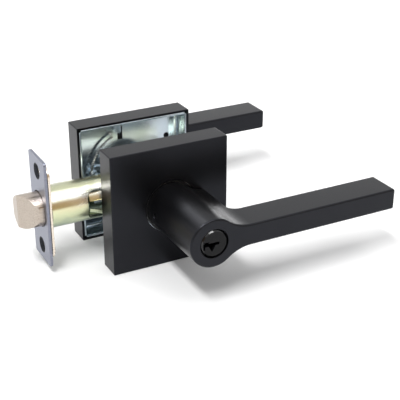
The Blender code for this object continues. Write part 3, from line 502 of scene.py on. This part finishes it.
# %% [markdown]
# ## Picking and pushing
# The next step in the window is edit mode: points, edges or faces are picked, and a tool works on what is
# picked. Here they are picked by a test of their place or direction. Places that agree within a hundredth of
# a millimetre count as the same, and the looser margin is for tests where nothing else lies near.

# %% Picking and pushing
NEAR = 0.01
CLOSE = 0.1
SAME_POINT = 0.001
FACING = 0.99
SHARP = math.radians(60.0)


def everything(item):
    """A test that all points, edges and faces pass."""
    return True


def choose(piece, kind, test):
    """In edit mode, select only the points, edges or faces that pass a test."""
    only(piece)
    bpy.ops.object.mode_set(mode='EDIT')
    bpy.ops.mesh.select_mode(type=kind)
    bpy.ops.mesh.select_all(action='DESELECT')
    shape = bmesh.from_edit_mesh(piece.data)
    for item in {'VERT': shape.verts, 'EDGE': shape.edges, 'FACE': shape.faces}[kind]:
        if test(item):
            item.select_set(True)
    shape.select_flush_mode()
    bmesh.update_edit_mesh(piece.data)


def middle(item):
    """Centre of an edge or a face, in millimetres."""
    if isinstance(item, bmesh.types.BMEdge):
        return (item.verts[0].co + item.verts[1].co) / 2 / MM
    return item.calc_center_median() / MM


def span(edge):
    """Reach of an edge along each axis, in millimetres."""
    return (edge.verts[0].co - edge.verts[1].co) / MM


def push(y):
    """Extrude what is selected, along the spindle axis."""
    bpy.ops.mesh.extrude_region_move(TRANSFORM_OT_translate={"value": Vector((0.0, y, 0.0)) * MM})


def bevel(width, segments):
    """Round the selected edges, or chamfer them with one segment."""
    bpy.ops.mesh.bevel(offset=width * MM, segments=segments, affect='EDGES')


def weld(piece):
    """Merge points that lie in one place, and leave everything selected."""
    choose(piece, 'VERT', everything)
    bpy.ops.mesh.remove_doubles(threshold=SAME_POINT * MM)


print("places within", NEAR, "mm count as the same")

# %% [markdown]
# ## Cutting, rounding and mirroring
# A hole is cut by taking one shape out of another, which Blender calls a boolean. Edges are rounded by a
# bevel that looks for sharp angles. The roses, levers, bushes and trays of the two sides are nearly alike,
# so they are made once and mirrored, and a mirrored mesh has to have its faces turned outwards again.

# %% Cutting, rounding and mirroring


def cut(piece, tool, operation='DIFFERENCE'):
    """Take a tool out of a piece, or join it on, and throw the tool away."""
    only(piece)
    step = piece.modifiers.new("cut", 'BOOLEAN')
    step.operation = operation
    step.solver = 'EXACT'
    step.object = tool
    bpy.ops.object.modifier_apply(modifier=step.name)
    bpy.data.objects.remove(tool, do_unlink=True)


def soften(piece, width, segments=3, angle=40.0):
    """Round every edge that is sharper than an angle."""
    only(piece)
    edge = piece.modifiers.new("edge", 'BEVEL')
    edge.width = width * MM
    edge.segments = segments
    edge.limit_method = 'ANGLE'
    edge.angle_limit = math.radians(angle)
    bpy.ops.object.modifier_apply(modifier=edge.name)


def mirrored(piece, name):
    """A copy on the other side of the door, with its own mesh, facing outwards."""
    only(piece)
    bpy.ops.object.duplicate()
    bpy.context.object.scale = (1.0, -1.0, 1.0)
    copy = settle(name)
    bpy.ops.object.mode_set(mode='EDIT')
    bpy.ops.mesh.select_all(action='SELECT')
    bpy.ops.mesh.normals_make_consistent(inside=False)
    bpy.ops.object.mode_set(mode='OBJECT')
    return copy


door_room = box_mm("interior_rose_cover")[0].y - box_mm("exterior_rose_cover")[1].y
print("the two roses stand", round(door_room, 1), "mm apart")

# %% [markdown]
# ## Dressing a piece
# A finished mesh still has to look and act like the piece. Its shading is smoothed across gentle angles,
# weighted towards the large faces so that they stay flat, and it gets its finish. Then it rides on the body
# that its solid belongs to, and stands for that solid. The line that is printed shows whether the mesh is
# closed.

# %% Dressing


def dress(piece, node, finish=None, angle=30.0):
    """Smooth the shading, add a finish, and let the piece stand for a solid on that solid's body."""
    only(piece)
    bpy.ops.object.shade_smooth_by_angle(angle=math.radians(angle))
    weigh = piece.modifiers.new("weigh", 'WEIGHTED_NORMAL')
    weigh.keep_sharp = True
    bpy.ops.object.modifier_apply(modifier=weigh.name)
    piece.data.materials.clear()
    piece.data.materials.append(finish or FINISHES[SLOT_OF[node]])
    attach(piece, BODY_OF[node])
    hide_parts(node)
    shape = bmesh.new()
    shape.from_mesh(piece.data)
    loose = sum(1 for edge in shape.edges if not edge.is_manifold)
    volume = shape.calc_volume(signed=True) / MM ** 3
    print(f"{piece.name}: {len(shape.faces)} faces, {loose} open edges, {volume:.0f} mm3")
    shape.free()


def repaint(piece, finish, test):
    """Give a second finish to the faces that pass a test."""
    piece.data.materials.append(finish)
    choose(piece, 'FACE', test)
    piece.active_material_index = 1
    bpy.ops.object.material_slot_assign()
    rest()


print("pieces to dress:", len(NODES))

# %% [markdown]
# ## Rose covers
# Each rose is a square cap, drawn or cast with walls a millimetre thick, and open towards the door. It
# starts as a block. The outer edges are rounded first, then the hole for the hub is bored right through, and
# the inside is taken out with a smaller block, which leaves the walls. The hole keeps a crisp edge.

# %% Rose covers
ROSE_WALL = 1.0
ROSE_ROUND = 0.6
ROSE_HOLE = 14.2
rose_low, rose_high = box_mm("exterior_rose_cover")

rose = slab("exterior_rose", rose_low, rose_high)
choose(rose, 'EDGE', lambda edge: middle(edge).y < rose_high.y - CLOSE)
bevel(ROSE_ROUND, segments=4)
cut(rose, bar("rose_hole", ROSE_HOLE, rose_low.y - OVER, rose_high.y + OVER, sides=128))
wall = Vector((ROSE_WALL, ROSE_WALL, ROSE_WALL))
cut(rose, slab("rose_inside", rose_low + wall, rose_high + Vector((-ROSE_WALL, OVER, -ROSE_WALL))))
dress(mirrored(rose, "interior_rose"), "interior_rose_cover")
dress(rose, "exterior_rose_cover")

# %% [markdown]
# ## The lever's plan
# A lever is one casting: a round hub that flows through two concave fillets into a square grip. Its plan is
# traced point by point with the spin tool, as one would draw it with a compass: the hub's circle, then a
# fillet, and once round the grip. The tracing adds up a little rounding error, and HAIR is taken off the
# grip to make up for it.

# %% Trace the lever's plan
GRIP_HALF = 5.65
GRIP_DEPTH = 18.6
NECK_GAP = 0.7
NECK_REACH = 18.4
FINGER_ROUND = 6.0
FILLET = 20.0
CORNER = 1.2
LEVER_ROUND = 1.0
HAIR = 0.00002
CENTRED = 1.0

lever_low, lever_high = box_mm("exterior_lever")
HUB_R = -lever_low.x
HUB_FACE = lever_low.y
HUB_BASE = lever_high.y
GRIP_END = lever_high.x - HAIR
GRIP_BACK = HUB_FACE + GRIP_DEPTH
NECK_BASE = rose_low.y - NECK_GAP
fillet_z = GRIP_HALF + FILLET
fillet_x = math.sqrt((HUB_R + FILLET) ** 2 - fillet_z ** 2)
lean = math.degrees(math.atan2(fillet_z, fillet_x))


def sweep(x, z, degrees, steps):
    """Carry the last point round a centre, from X towards Z."""
    bpy.ops.mesh.spin(steps=steps, angle=math.radians(degrees), axis=(0.0, 1.0, 0.0),
                      center=Vector((x, NECK_BASE, z)) * MM)


def reach(x, z):
    """Draw a straight line on from the last point."""
    bpy.ops.mesh.extrude_vertices_move(TRANSFORM_OT_translate={"value": Vector((x, 0.0, z)) * MM})


tangent = Vector((math.cos(math.radians(lean)), 0.0, math.sin(math.radians(lean)))) * HUB_R
rest()
bpy.ops.mesh.primitive_plane_add(size=MM, location=(tangent + Vector((0.0, NECK_BASE, 0.0))) * MM)
lever = settle("exterior_handle")
choose(lever, 'VERT', everything)
bpy.ops.mesh.merge(type='CENTER')
sweep(0.0, 0.0, 360.0 - 2 * lean, steps=92)
sweep(0.0, 0.0, 2 * lean, steps=36)
weld(lever)
choose(lever, 'VERT', lambda vert: (vert.co / MM - tangent).xz.length < NEAR)
sweep(fillet_x, fillet_z, 90.0 - lean, steps=20)
reach(GRIP_END - CORNER - fillet_x, 0.0)
sweep(GRIP_END - CORNER, GRIP_HALF - CORNER, -90.0, steps=5)
reach(0.0, -2 * (GRIP_HALF - CORNER))
sweep(GRIP_END - CORNER, -GRIP_HALF + CORNER, -90.0, steps=5)
reach(fillet_x - GRIP_END + CORNER, 0.0)
sweep(fillet_x, -fillet_z, 90.0 - lean, steps=20)
weld(lever)
rest()
print("lever plan: fillets end", round(fillet_x, 2), "mm from the axis")

# %% [markdown]
# ## Raising the lever
# The hub and the grip are filled as two faces and pushed out together, and the hub alone goes on into the
# rose. The whole plan runs back towards the rose as a neck. The room for the fingers is cut out behind the
# grip with a block that has one rounded edge, and the sharp edges are rounded as a casting's would be.

# %% Raise the lever and cut the room for the fingers


def off_axis(item):
    """Distance of an edge or a face from the spindle axis, in the plan."""
    return Vector((middle(item).x, middle(item).z)).length


def in_grip(edge):
    """Whether an edge of the hub's circle lies inside the grip."""
    place = middle(edge)
    return off_axis(edge) < HUB_R and abs(math.degrees(math.atan2(place.z, place.x))) < lean


choose(lever, 'EDGE', lambda edge: off_axis(edge) < HUB_R)
bpy.ops.mesh.edge_face_add()
choose(lever, 'EDGE', lambda edge: off_axis(edge) > HUB_R or in_grip(edge))
bpy.ops.mesh.edge_face_add()
choose(lever, 'FACE', everything)
push(HUB_FACE - NECK_BASE)
choose(lever, 'FACE', lambda face: abs(middle(face).y - NECK_BASE) < NEAR and off_axis(face) < CENTRED)
push(HUB_BASE - NECK_BASE)
choose(lever, 'EDGE', lambda edge: abs(middle(edge).y - HUB_FACE) < NEAR and in_grip(edge))
bpy.ops.mesh.dissolve_edges(use_verts=True)
choose(lever, 'FACE', everything)
bpy.ops.mesh.normals_make_consistent(inside=False)

fingers = slab("fingers", (NECK_REACH, GRIP_BACK, -GRIP_HALF - OVER),
               (GRIP_END + OVER, HUB_BASE + OVER, GRIP_HALF + OVER))
choose(fingers, 'EDGE', lambda edge: middle(edge).x < NECK_REACH + NEAR and middle(edge).y < GRIP_BACK + NEAR)
bevel(FINGER_ROUND, segments=10)
cut(lever, fingers)
choose(lever, 'EDGE', lambda edge: edge.calc_face_angle(0.0) > SHARP
       and (middle(edge).y < HUB_FACE + NEAR or middle(edge).x > NECK_REACH - NEAR)
       and abs(middle(edge).y - NECK_BASE) > NEAR)
bevel(LEVER_ROUND, segments=4)
rest()
print("lever raised:", len(lever.data.polygons), "faces")

# %% [markdown]
# ## Boring the levers
# The hub is hollow: a socket for the spindle from behind, and a hole through its face for the key plug or
# the turn button. The inner lever is mirrored before the last hole is drilled, because only the keyed lever
# has the small hole in its hub where a pin releases it from the spindle.

# %% Bore the levers
FACE_WALL = 2.5
SOCKET_R = 11.2
PLUG_HOLE = 7.5
PLUG_HOLE_ROUND = 0.3
RELEASE_R = 1.5
RELEASE_GAP = 7.2
RELEASE_ROUND = 0.2
HUB_FALL = 0.3
RELEASE_Y = rose_low.y - RELEASE_GAP

cut(lever, bar("hub_socket", SOCKET_R, HUB_FACE + FACE_WALL, HUB_BASE + OVER))
cut(lever, bar("plug_hole", PLUG_HOLE, HUB_FACE - OVER, HUB_FACE + FACE_WALL + OVER))
choose(lever, 'EDGE', lambda edge: abs(middle(edge).y - HUB_FACE) < NEAR
       and off_axis(edge) < PLUG_HOLE + CLOSE)
bevel(PLUG_HOLE_ROUND, segments=2)
dress(mirrored(lever, "interior_handle"), "interior_lever")
cut(lever, bar("release_pin", RELEASE_R, -HUB_R - OVER, -SOCKET_R + OVER, 'X', sides=32,
               centre=(RELEASE_Y, 0.0)))
choose(lever, 'EDGE', lambda edge: middle(edge).x < -HUB_R + HUB_FALL and edge.calc_face_angle(0.0) > SHARP
       and abs(middle(edge).y - RELEASE_Y) < RELEASE_R + CLOSE)
bevel(RELEASE_ROUND, segments=2)
dress(lever, "exterior_lever")

# %% [markdown]
# ## Key plug
# The plug is turned brass with a broad face in the end of the hub and a narrower barrel behind it. A flat
# chamfer runs round the face, because a rounded edge there is shaded by the wall of the hole and stays dull.
# The keyway is broached into the face: a long slot, a ward across its end and two three-cornered lobes.

# %% Key plug
PLUG_R = 7.2
BARREL_R = 6.35
CHAMFER = 0.85
RIM = 1.0
SLANT_LEAST, SLANT_MOST = 0.1, 0.97
SLOT_START, SLOT_END, SLOT_HALF = -5.9, 2.6, 0.75
WARD_END, WARD_LOW, WARD_HIGH = -5.0, -2.4, 0.9
LOBES = ((2.3, -1.3, -1.7), (1.7, -4.2, 0.7))
KEYWAY_DEPTH = 20.0
KEYWAY_FRONT = HUB_FACE - OVER
KEYWAY_END = HUB_FACE + KEYWAY_DEPTH

plug_low, plug_high = box_mm("key_plug")
plug = bar("plug", PLUG_R, plug_low.y, HUB_FACE + FACE_WALL)
choose(plug, 'FACE', lambda face: face.normal.y > FACING)
bpy.ops.mesh.inset(thickness=(PLUG_R - BARREL_R) * MM)
push(plug_high.y - HUB_FACE - FACE_WALL)
choose(plug, 'EDGE', lambda edge: abs(middle(edge).y - plug_low.y) < NEAR)
bevel(CHAMFER, segments=1)
cut(plug, slab("keyway", (SLOT_START, KEYWAY_FRONT, -SLOT_HALF), (SLOT_END, KEYWAY_END, SLOT_HALF)))
cut(plug, slab("keyway_ward", (SLOT_START, KEYWAY_FRONT, WARD_LOW), (WARD_END, KEYWAY_END, WARD_HIGH)))
for radius, x, z in LOBES:
    cut(plug, bar("keyway_lobe", radius, KEYWAY_FRONT, KEYWAY_END, sides=3, centre=(x, z)))
dress(plug, "key_plug")
repaint(plug, burnished, lambda face: middle(face).y < plug_low.y + RIM
        and SLANT_LEAST < -face.normal.y < SLANT_MOST and middle(face).xz.length > PLUG_R - RIM)

# %% [markdown]
# ## Rose bushes
# A thin nylon ring lines the hole in each rose, so that the hub turns quietly and no metal rubs on the coat.
# It ends flush with the rose and leaves the hub very little play. A short bar has both ends inset; the
# middles are deleted and the two rims bridged into a bore, and the latch tube is made the same way.

# %% Rose bushes
BUSH_PLAY = 0.06
BUSH_EDGE = 0.05
bush_high = box_mm("exterior_rose_bush")[1]


def make_tube(piece, axis, wall):
    """Inset both ends of a bar, delete the middles and bridge the two rims into a bore."""
    choose(piece, 'FACE', lambda face: abs(face.normal.dot(axis)) > FACING)
    bpy.ops.mesh.inset(thickness=wall * MM)
    bpy.ops.mesh.delete(type='FACE')
    choose(piece, 'EDGE', lambda edge: edge.is_boundary)
    bpy.ops.mesh.bridge_edge_loops()


bush = bar("exterior_hub_bush", bush_high.x, rose_low.y, bush_high.y, sides=128)
make_tube(bush, Vector((0.0, 1.0, 0.0)), bush_high.x - HUB_R - BUSH_PLAY)
soften(bush, BUSH_EDGE, segments=2)
dress(mirrored(bush, "interior_hub_bush"), "interior_rose_bush")
dress(bush, "exterior_rose_bush")

# %% [markdown]
# ## Pressing the trays
# Behind each cover sits a pressed steel tray. Sheet metal is bent, not carved, so the tray starts as an open
# box of no thickness. Its bends are rounded, a small square is taken off each corner where two walls would
# meet, and Solidify gives the sheet.

# %% Press the trays
SHEET = 1.2
BEND = 3.2
BEND_START = 0.05
RELIEF = 1.0
RIM_ROUND = 0.4
tray_low, tray_high = box_mm("exterior_mounting_plate")
TRAY_FLOOR = tray_low.y + SHEET
relieved = tray_high.x - RELIEF

tray = slab("exterior_tray", tray_low, tray_high)
choose(tray, 'FACE', lambda face: face.normal.y > FACING)
bpy.ops.mesh.delete(type='ONLY_FACE')
choose(tray, 'EDGE', lambda edge: middle(edge).y < tray_low.y + CLOSE)
bevel(BEND, segments=6)
for axis in (Vector((1.0, 0.0, 0.0)), Vector((0.0, 0.0, 1.0))):
    for side in (-1, 1):
        choose(tray, 'FACE', everything)
        bpy.ops.mesh.bisect(plane_co=axis * side * relieved * MM, plane_no=axis)
choose(tray, 'FACE', lambda face: min(abs(middle(face).x), abs(middle(face).z)) > relieved
       and middle(face).y > tray_low.y + BEND_START)
bpy.ops.mesh.delete(type='FACE')
choose(tray, 'FACE', everything)
bpy.ops.mesh.normals_make_consistent(inside=False)
only(tray)
sheet = tray.modifiers.new("sheet", 'SOLIDIFY')
sheet.thickness = SHEET * MM
sheet.offset = -1.0
sheet.use_even_offset = True
bpy.ops.object.modifier_apply(modifier=sheet.name)
choose(tray, 'EDGE', lambda edge: middle(edge).y > tray_high.y - NEAR)
bevel(RIM_ROUND, segments=3)
rest()
print("tray pressed from", SHEET, "mm sheet:", len(tray.data.polygons), "faces")

# %% [markdown]
# ## Punching the trays
# A press punches the bore for the spindle, a pilot hole, and a slot whose metal is bent up beside it as a
# tab. The tab is for the return spring. It is a small block with rounded edges, joined on.

# %% Punch the trays and raise their tabs
BORE_R = 11.2
SPRING_R = 23.4
TAB_ANGLE = math.radians(109.0)
TAB_HALF = 1.45
TAB_LOW, TAB_HIGH = 24.45, 29.7
TAB_RISE = 6.4
TAB_ROUND = 0.5
SLIT_NEAR, SLIT_FAR = 2.05, 4.95
SLIT_LOW, SLIT_HIGH = 18.05, 28.8
PILOT_R = 1.6
PILOT_PLACE = (23.6, 15.4)
punch_low, punch_high = tray_low.y - OVER, TRAY_FLOOR + OVER
tab_x = SPRING_R * math.cos(TAB_ANGLE)

cut(tray, bar("spindle_bore", BORE_R, punch_low, punch_high))
cut(tray, slab("tab_slot", (tab_x + SLIT_NEAR, punch_low, SLIT_LOW),
               (tab_x + SLIT_FAR, punch_high, SLIT_HIGH)))
cut(tray, bar("pilot_hole", PILOT_R, punch_low, punch_high, sides=40, centre=PILOT_PLACE))
tab = slab("tab", (tab_x - TAB_HALF, TRAY_FLOOR - SHEET / 2, TAB_LOW),
           (tab_x + TAB_HALF, TRAY_FLOOR + TAB_RISE, TAB_HIGH))
soften(tab, TAB_ROUND)
cut(tray, tab, 'UNION')
inner_tray = mirrored(tray, "interior_tray")
dress(tray, "exterior_mounting_plate")

# %% [markdown]
# ## Screw seats
# Two long screws pull the halves together through the inner tray. Each has a dished seat: a low cone that is
# pressed up from the floor, hollow behind, with a clearance hole and a shallow dish at its crown.

# %% Dish the screw seats of the inner tray
SCREW_X = 19.05
SEAT_RISE = 1.6
SEAT_CROWN_R, SEAT_FOOT_R = 5.4, 6.4
SEAT_HOLE = 2.3
HOLLOW_R = 4.3
DISH_R, DISH_FLOOR_R = 3.9, 2.9
DISH_SKIN, DISH_DEPTH = 0.05, 0.5
crown = -TRAY_FLOOR - SEAT_RISE
behind = -tray_low.y

for side in (-1, 1):
    spot = (side * SCREW_X, 0.0)
    seat = bar("seat", SEAT_CROWN_R, crown, -TRAY_FLOOR + SHEET / 2, sides=64, centre=spot,
               far_radius=SEAT_FOOT_R)
    cut(inner_tray, seat, 'UNION')
    cut(inner_tray, bar("seat_hole", SEAT_HOLE, crown - OVER, behind + OVER, sides=40, centre=spot))
    cut(inner_tray, bar("seat_sink", HOLLOW_R, behind - SEAT_RISE, behind + OVER, sides=48, centre=spot))
    cut(inner_tray, bar("seat_dish", DISH_R, crown - DISH_SKIN, crown + DISH_DEPTH, sides=48, centre=spot,
                        far_radius=DISH_FLOOR_R))
dress(inner_tray, "interior_mounting_plate")

# %% [markdown]
# ## Winding wire
# Each spring is one length of round wire. A helix is drawn as a curve point by point, because a formula
# gives its pitch exactly. The curve's round bevel becomes the wire, and the curve is then turned into a
# mesh.

# %% Wire


def helix(radius, start, sweep_angle, first, last, per_turn=48):
    """Points of a coil as (along, across, height), angles in degrees."""
    count = round(sweep_angle / 360.0 * per_turn)
    points = []
    for step in range(count + 1):
        angle = math.radians(start + sweep_angle * step / count)
        height = first + (last - first) * step / count
        points.append((radius * math.cos(angle), radius * math.sin(angle), height))
    return points


def wind(name, points, diameter):
    """Round wire along points."""
    rest()
    path = bpy.data.curves.new(name, 'CURVE')
    path.dimensions = '3D'
    path.bevel_depth = diameter / 2 * MM
    path.bevel_resolution = 4
    path.use_fill_caps = True
    spline = path.splines.new('POLY')
    spline.points.add(len(points) - 1)
    for point, place in zip(spline.points, points):
        point.co = (*(Vector(place) * MM), 1.0)
    piece = bpy.data.objects.new(name, path)
    scene.collection.objects.link(piece)
    only(piece)
    bpy.ops.object.convert(target='MESH')
    piece = bpy.context.object
    weld(piece)
    bpy.ops.mesh.normals_make_consistent(inside=False)
    rest()
    return piece


print("one turn of a coil has", len(helix(1.0, 0.0, 360.0, 0.0, 0.0)) - 1, "steps")

# %% [markdown]
# ## Return springs
# An open spring in each tray brings the lever back. It is an arc of wire that climbs from the tray's floor
# as it goes, with one end carried outwards and the other bent towards the door. The two sides are mirror
# images.

# %% Return springs
RETURN_WIRE = 1.5
RETURN_START, RETURN_SWEEP = 115.1, 218.4
RETURN_CLEAR = 1.05
RETURN_RISE = 3.8
HOOK_R = 26.8
FOOT = 3.4
return_top = -TRAY_FLOOR - SEAT_RISE - RETURN_CLEAR

coil = helix(SPRING_R, RETURN_START, RETURN_SWEEP, return_top, return_top - RETURN_RISE, per_turn=96)
out = HOOK_R / SPRING_R
coil = [(coil[0][0] * out, coil[0][1] * out, coil[0][2])] + coil
coil.append((coil[-1][0], coil[-1][1], coil[-1][2] - FOOT))
dress(wind("interior_coil", [(x, y, z) for x, z, y in coil], RETURN_WIRE), "interior_return_spring")
dress(wind("exterior_coil", [(x, -y, z) for x, z, y in coil], RETURN_WIRE), "exterior_return_spring")

# %% [markdown]
# ## Bolt spring
# A compression spring of four turns stands between the bolt and its seat and pushes the bolt out. As the
# bolt draws back the spring has to close with it. Here it is wound at full length, with a mesh of its own.

# %% Bolt spring
BOLT_WIRE = 0.8
BOLT_COIL_R = 6.5
BOLT_COIL_TURNS = 4
COIL_END_GAP = 0.7
bolt_low, bolt_high = box_mm("latch_bolt")
seat_low = box_mm("latch_spring_seat")[0]

coil = helix(BOLT_COIL_R, 0.0, BOLT_COIL_TURNS * 360.0, bolt_high.x + COIL_END_GAP, seat_low.x - COIL_END_GAP,
             per_turn=32)
spring = wind("bolt_coil", [(x, y, z) for y, z, x in coil], BOLT_WIRE)
dress(spring, "latch_spring")
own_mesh(spring)

# %% [markdown]
# ## Latch plates
# Two plates meet the edge of the door. The front one is nickel plated with countersunk holes and a mouth for
# the bolt; the one behind it is shorter, with round corners, and carries the tube. Both start as slabs whose
# four corners are rounded, and the holes are cut with bars, cones and a bar whose two sides are sliced flat.

# %% Faceplate and backplate
SCREW_Z = 20.65
HOLE_R = 2.5
SINK_R, SINK_DEPTH, SINK_OVER = 4.8, 1.8, 0.5
SINK_PAINT_R, FACE_SKIN = 4.9, 0.02
MOUTH_R, MOUTH_HALF = 9.5, 8.8
SEAT_BORE_R, SEAT_BORE_HALF = 11.3, 10.1
FRONT_CORNER, BACK_CORNER = 1.4, 5.0
THROUGH_EDGE = 0.5
PLATE_EDGE, PLATE_ANGLE = 0.2, 60.0


def flat_sided_bar(name, radius, half, low, high):
    """A bar along X, sliced flat on both sides."""
    piece = bar(name, radius, low, high, 'X')
    for side in (-1.0, 1.0):
        choose(piece, 'FACE', everything)
        bpy.ops.mesh.bisect(plane_co=(0.0, side * half * MM, 0.0), plane_no=(0.0, side, 0.0),
                            clear_outer=True, use_fill=True)
    only(piece)
    return piece


def edge_plate(name, node, corner):
    """A flat plate on the door's edge, with rounded corners and two screw holes."""
    low, high = box_mm(node)
    piece = slab(name, low, high)
    choose(piece, 'EDGE', lambda edge: abs(span(edge).x) > THROUGH_EDGE)
    bevel(corner, segments=6)
    for side in (-1, 1):
        cut(piece, bar("screw_hole", HOLE_R, low.x - OVER, high.x + OVER, 'X', sides=48,
                       centre=(0.0, side * SCREW_Z)))
    return piece, low, high


front, front_low, front_high = edge_plate("front_plate", "faceplate", FRONT_CORNER)
cut(front, flat_sided_bar("bolt_mouth", MOUTH_R, MOUTH_HALF, front_low.x - OVER, front_high.x + OVER))
for side in (-1, 1):
    cut(front, bar("sink", SINK_R, front_low.x - SINK_OVER, front_low.x + SINK_DEPTH, 'X', sides=48,
                   centre=(0.0, side * SCREW_Z), far_radius=HOLE_R))
soften(front, PLATE_EDGE, segments=2, angle=PLATE_ANGLE)
dress(front, "faceplate", face_steel)
# The countersinks and hole walls get the dark painted shade, standing for the shadow inside the holes.
repaint(front, hole_shade, lambda face: middle(face).x > front_low.x + FACE_SKIN
        and Vector((middle(face).y, abs(middle(face).z) - SCREW_Z)).length < SINK_PAINT_R)
back, back_low, back_high = edge_plate("rear_plate", "backplate", BACK_CORNER)
cut(back, flat_sided_bar("tube_bore", SEAT_BORE_R, SEAT_BORE_HALF, back_low.x - OVER, back_high.x + OVER))
soften(back, PLATE_EDGE, segments=2, angle=PLATE_ANGLE)
dress(back, "backplate", pale_chromate)

# %% [markdown]
# ## Latch tube
# The tube is a plain drawn tube with a window through both sides, where the cam and the two posts pass. Two
# lugs on each side are left standing when the window is punched, and their ends are bent inwards. The
# window's tool is a rounded block with the lugs already cut out of it, so one cut makes the opening.

# %% Tube
TUBE_WALL = 1.0
TUBE_EDGE = 0.15
WINDOW_START, WINDOW_END, WINDOW_HALF, WINDOW_CORNER = -38.0, 24.0, 7.7, 4.0
WINDOW_Y = 12.0
LUG_END, LUG_ROOT = -36.2, -28.0
LUGS = ((LUG_END, 3.0, 7.1), (-31.0, 2.6, 9.0))
LUG_TIP_HALF = 7.2
LUG_BEND = 2.2
LUG_INWARD, LUG_ACROSS = 0.88, 0.47
tube_low, tube_high = box_mm("latch_tube")

tube = bar("tube", tube_high.z, tube_low.x, tube_high.x, 'X', sides=128)
make_tube(tube, Vector((1.0, 0.0, 0.0)), TUBE_WALL)
window = slab("window", (WINDOW_START, -WINDOW_Y, -WINDOW_HALF), (WINDOW_END, WINDOW_Y, WINDOW_HALF))
choose(window, 'EDGE', lambda edge: abs(span(edge).y) > THROUGH_EDGE)
bevel(WINDOW_CORNER, segments=8)
for side in (-1, 1):
    for low_x, inner, outer in LUGS:
        low, high = sorted((side * inner, side * outer))
        cut(window, slab("lug", (low_x, -WINDOW_Y - OVER, low), (LUG_ROOT, WINDOW_Y + OVER, high)))
cut(tube, window)
for side_y in (-1, 1):
    for side_z in (-1, 1):
        choose(tube, 'VERT', lambda vert: abs(vert.co.x / MM - LUG_END) < NEAR
               and abs(vert.co.z / MM) < LUG_TIP_HALF
               and vert.co.y * side_y > 0.0 and vert.co.z * side_z > 0.0)
        bend = Vector((0.0, -side_y * LUG_INWARD, -side_z * LUG_ACROSS)) * LUG_BEND
        bpy.ops.transform.translate(value=bend * MM)
soften(tube, TUBE_EDGE, segments=2)
dress(tube, "latch_tube")

# %% [markdown]
# ## Bolt
# The bolt is a round bar with narrow flat cheeks. One slanting cut lets the door push it in, and the heel of
# that cut rolls over into the cheek: a block with a bar taken out of it is the shape of the corner that
# comes off.

# %% Bolt
BOLT_HALF = bolt_high.y
BOLT_NOSE = 6.6
BEVEL = math.radians(55.0)
HEEL_R = 6.0
HEEL_PAST = 0.1
ROLL_REACH = 12.0
BOLT_EDGE = 0.35
BAR_DEPTH, BAR_HALF_Y, BAR_HALF_Z = 4.0, 1.3, 4.3

bolt = flat_sided_bar("bolt", bolt_high.z, BOLT_HALF, bolt_low.x, bolt_high.x)
nose_y = BOLT_HALF - BOLT_NOSE
choose(bolt, 'FACE', everything)
bpy.ops.mesh.bisect(plane_co=Vector((bolt_low.x, nose_y, 0.0)) * MM, clear_outer=True, use_fill=True,
                    plane_no=(-math.sin(BEVEL), -math.cos(BEVEL), 0.0))
heel_y = -BOLT_HALF - HEEL_PAST + HEEL_R
heel_x = bolt_low.x + (nose_y + BOLT_HALF + HEEL_PAST) / math.tan(BEVEL) + HEEL_R * math.tan(BEVEL / 2)
roll = slab("heel_roll", (bolt_low.x, -ROLL_REACH, -ROLL_REACH),
            (heel_x, heel_y - HEEL_R * math.cos(BEVEL), ROLL_REACH))
cut(roll, bar("heel_round", HEEL_R, -ROLL_REACH - OVER, ROLL_REACH + OVER, 'Z', sides=160,
              centre=(heel_x, heel_y)))
cut(bolt, roll)
soften(bolt, BOLT_EDGE)
cut(bolt, slab("bar_slot", (bolt_high.x - BAR_DEPTH, -BAR_HALF_Y, -BAR_HALF_Z),
               (bolt_high.x + OVER, BAR_HALF_Y, BAR_HALF_Z)))
dress(bolt, "latch_bolt")

# %% [markdown]
# ## Inner pieces
# The rest of the lockset is inside: spindles, rings, drivers, posts, screws, the cam and its fork. Their
# solids are already right, so each takes a copy of its solid whose loose triangles are merged and whose
# edges are broken a little, because no real edge is perfectly sharp and that small facet catches the light.
# The drawbar is shown yellow. The key cylinder's shell is shown black, a painted shade that keeps the thin
# gap round the key plug dark.

# %% Finer copies of the inner pieces
FINE_EDGE = 0.12
FLAT_WITHIN = math.radians(1.0)
BROKEN_EDGE = {"turn_button": 0.4, "retractor_cam": 0.2}
# The shell's black is painted shade for the gap round the key plug; the drawbar's yellow is its own colour.
FINISH_AND_SHADE = {"cylinder_shell": satin_black, "bolt_drawbar": yellow}
for node in sorted(NODES):
    if NODES[node].hide_render:
        continue
    fine = bpy.data.objects.new(node + "_fine", NODES[node].data.copy())
    scene.collection.objects.link(fine)
    choose(fine, 'FACE', everything)
    bpy.ops.mesh.remove_doubles(threshold=SAME_POINT * MM)
    bpy.ops.mesh.dissolve_limited(angle_limit=FLAT_WITHIN)
    soften(fine, BROKEN_EDGE.get(node, FINE_EDGE), segments=2)
    dress(fine, node, FINISH_AND_SHADE.get(node))

# %% [markdown]
# ## Sizes
# The box round the solids was measured first. The box round what is shown is measured last, and both are
# printed.

# %% Print the sizes
for name, corners in (("cad", CAD_BOX), ("visual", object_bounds())):
    print(name, [[round(c / MM, 2) for c in corner] for corner in corners])
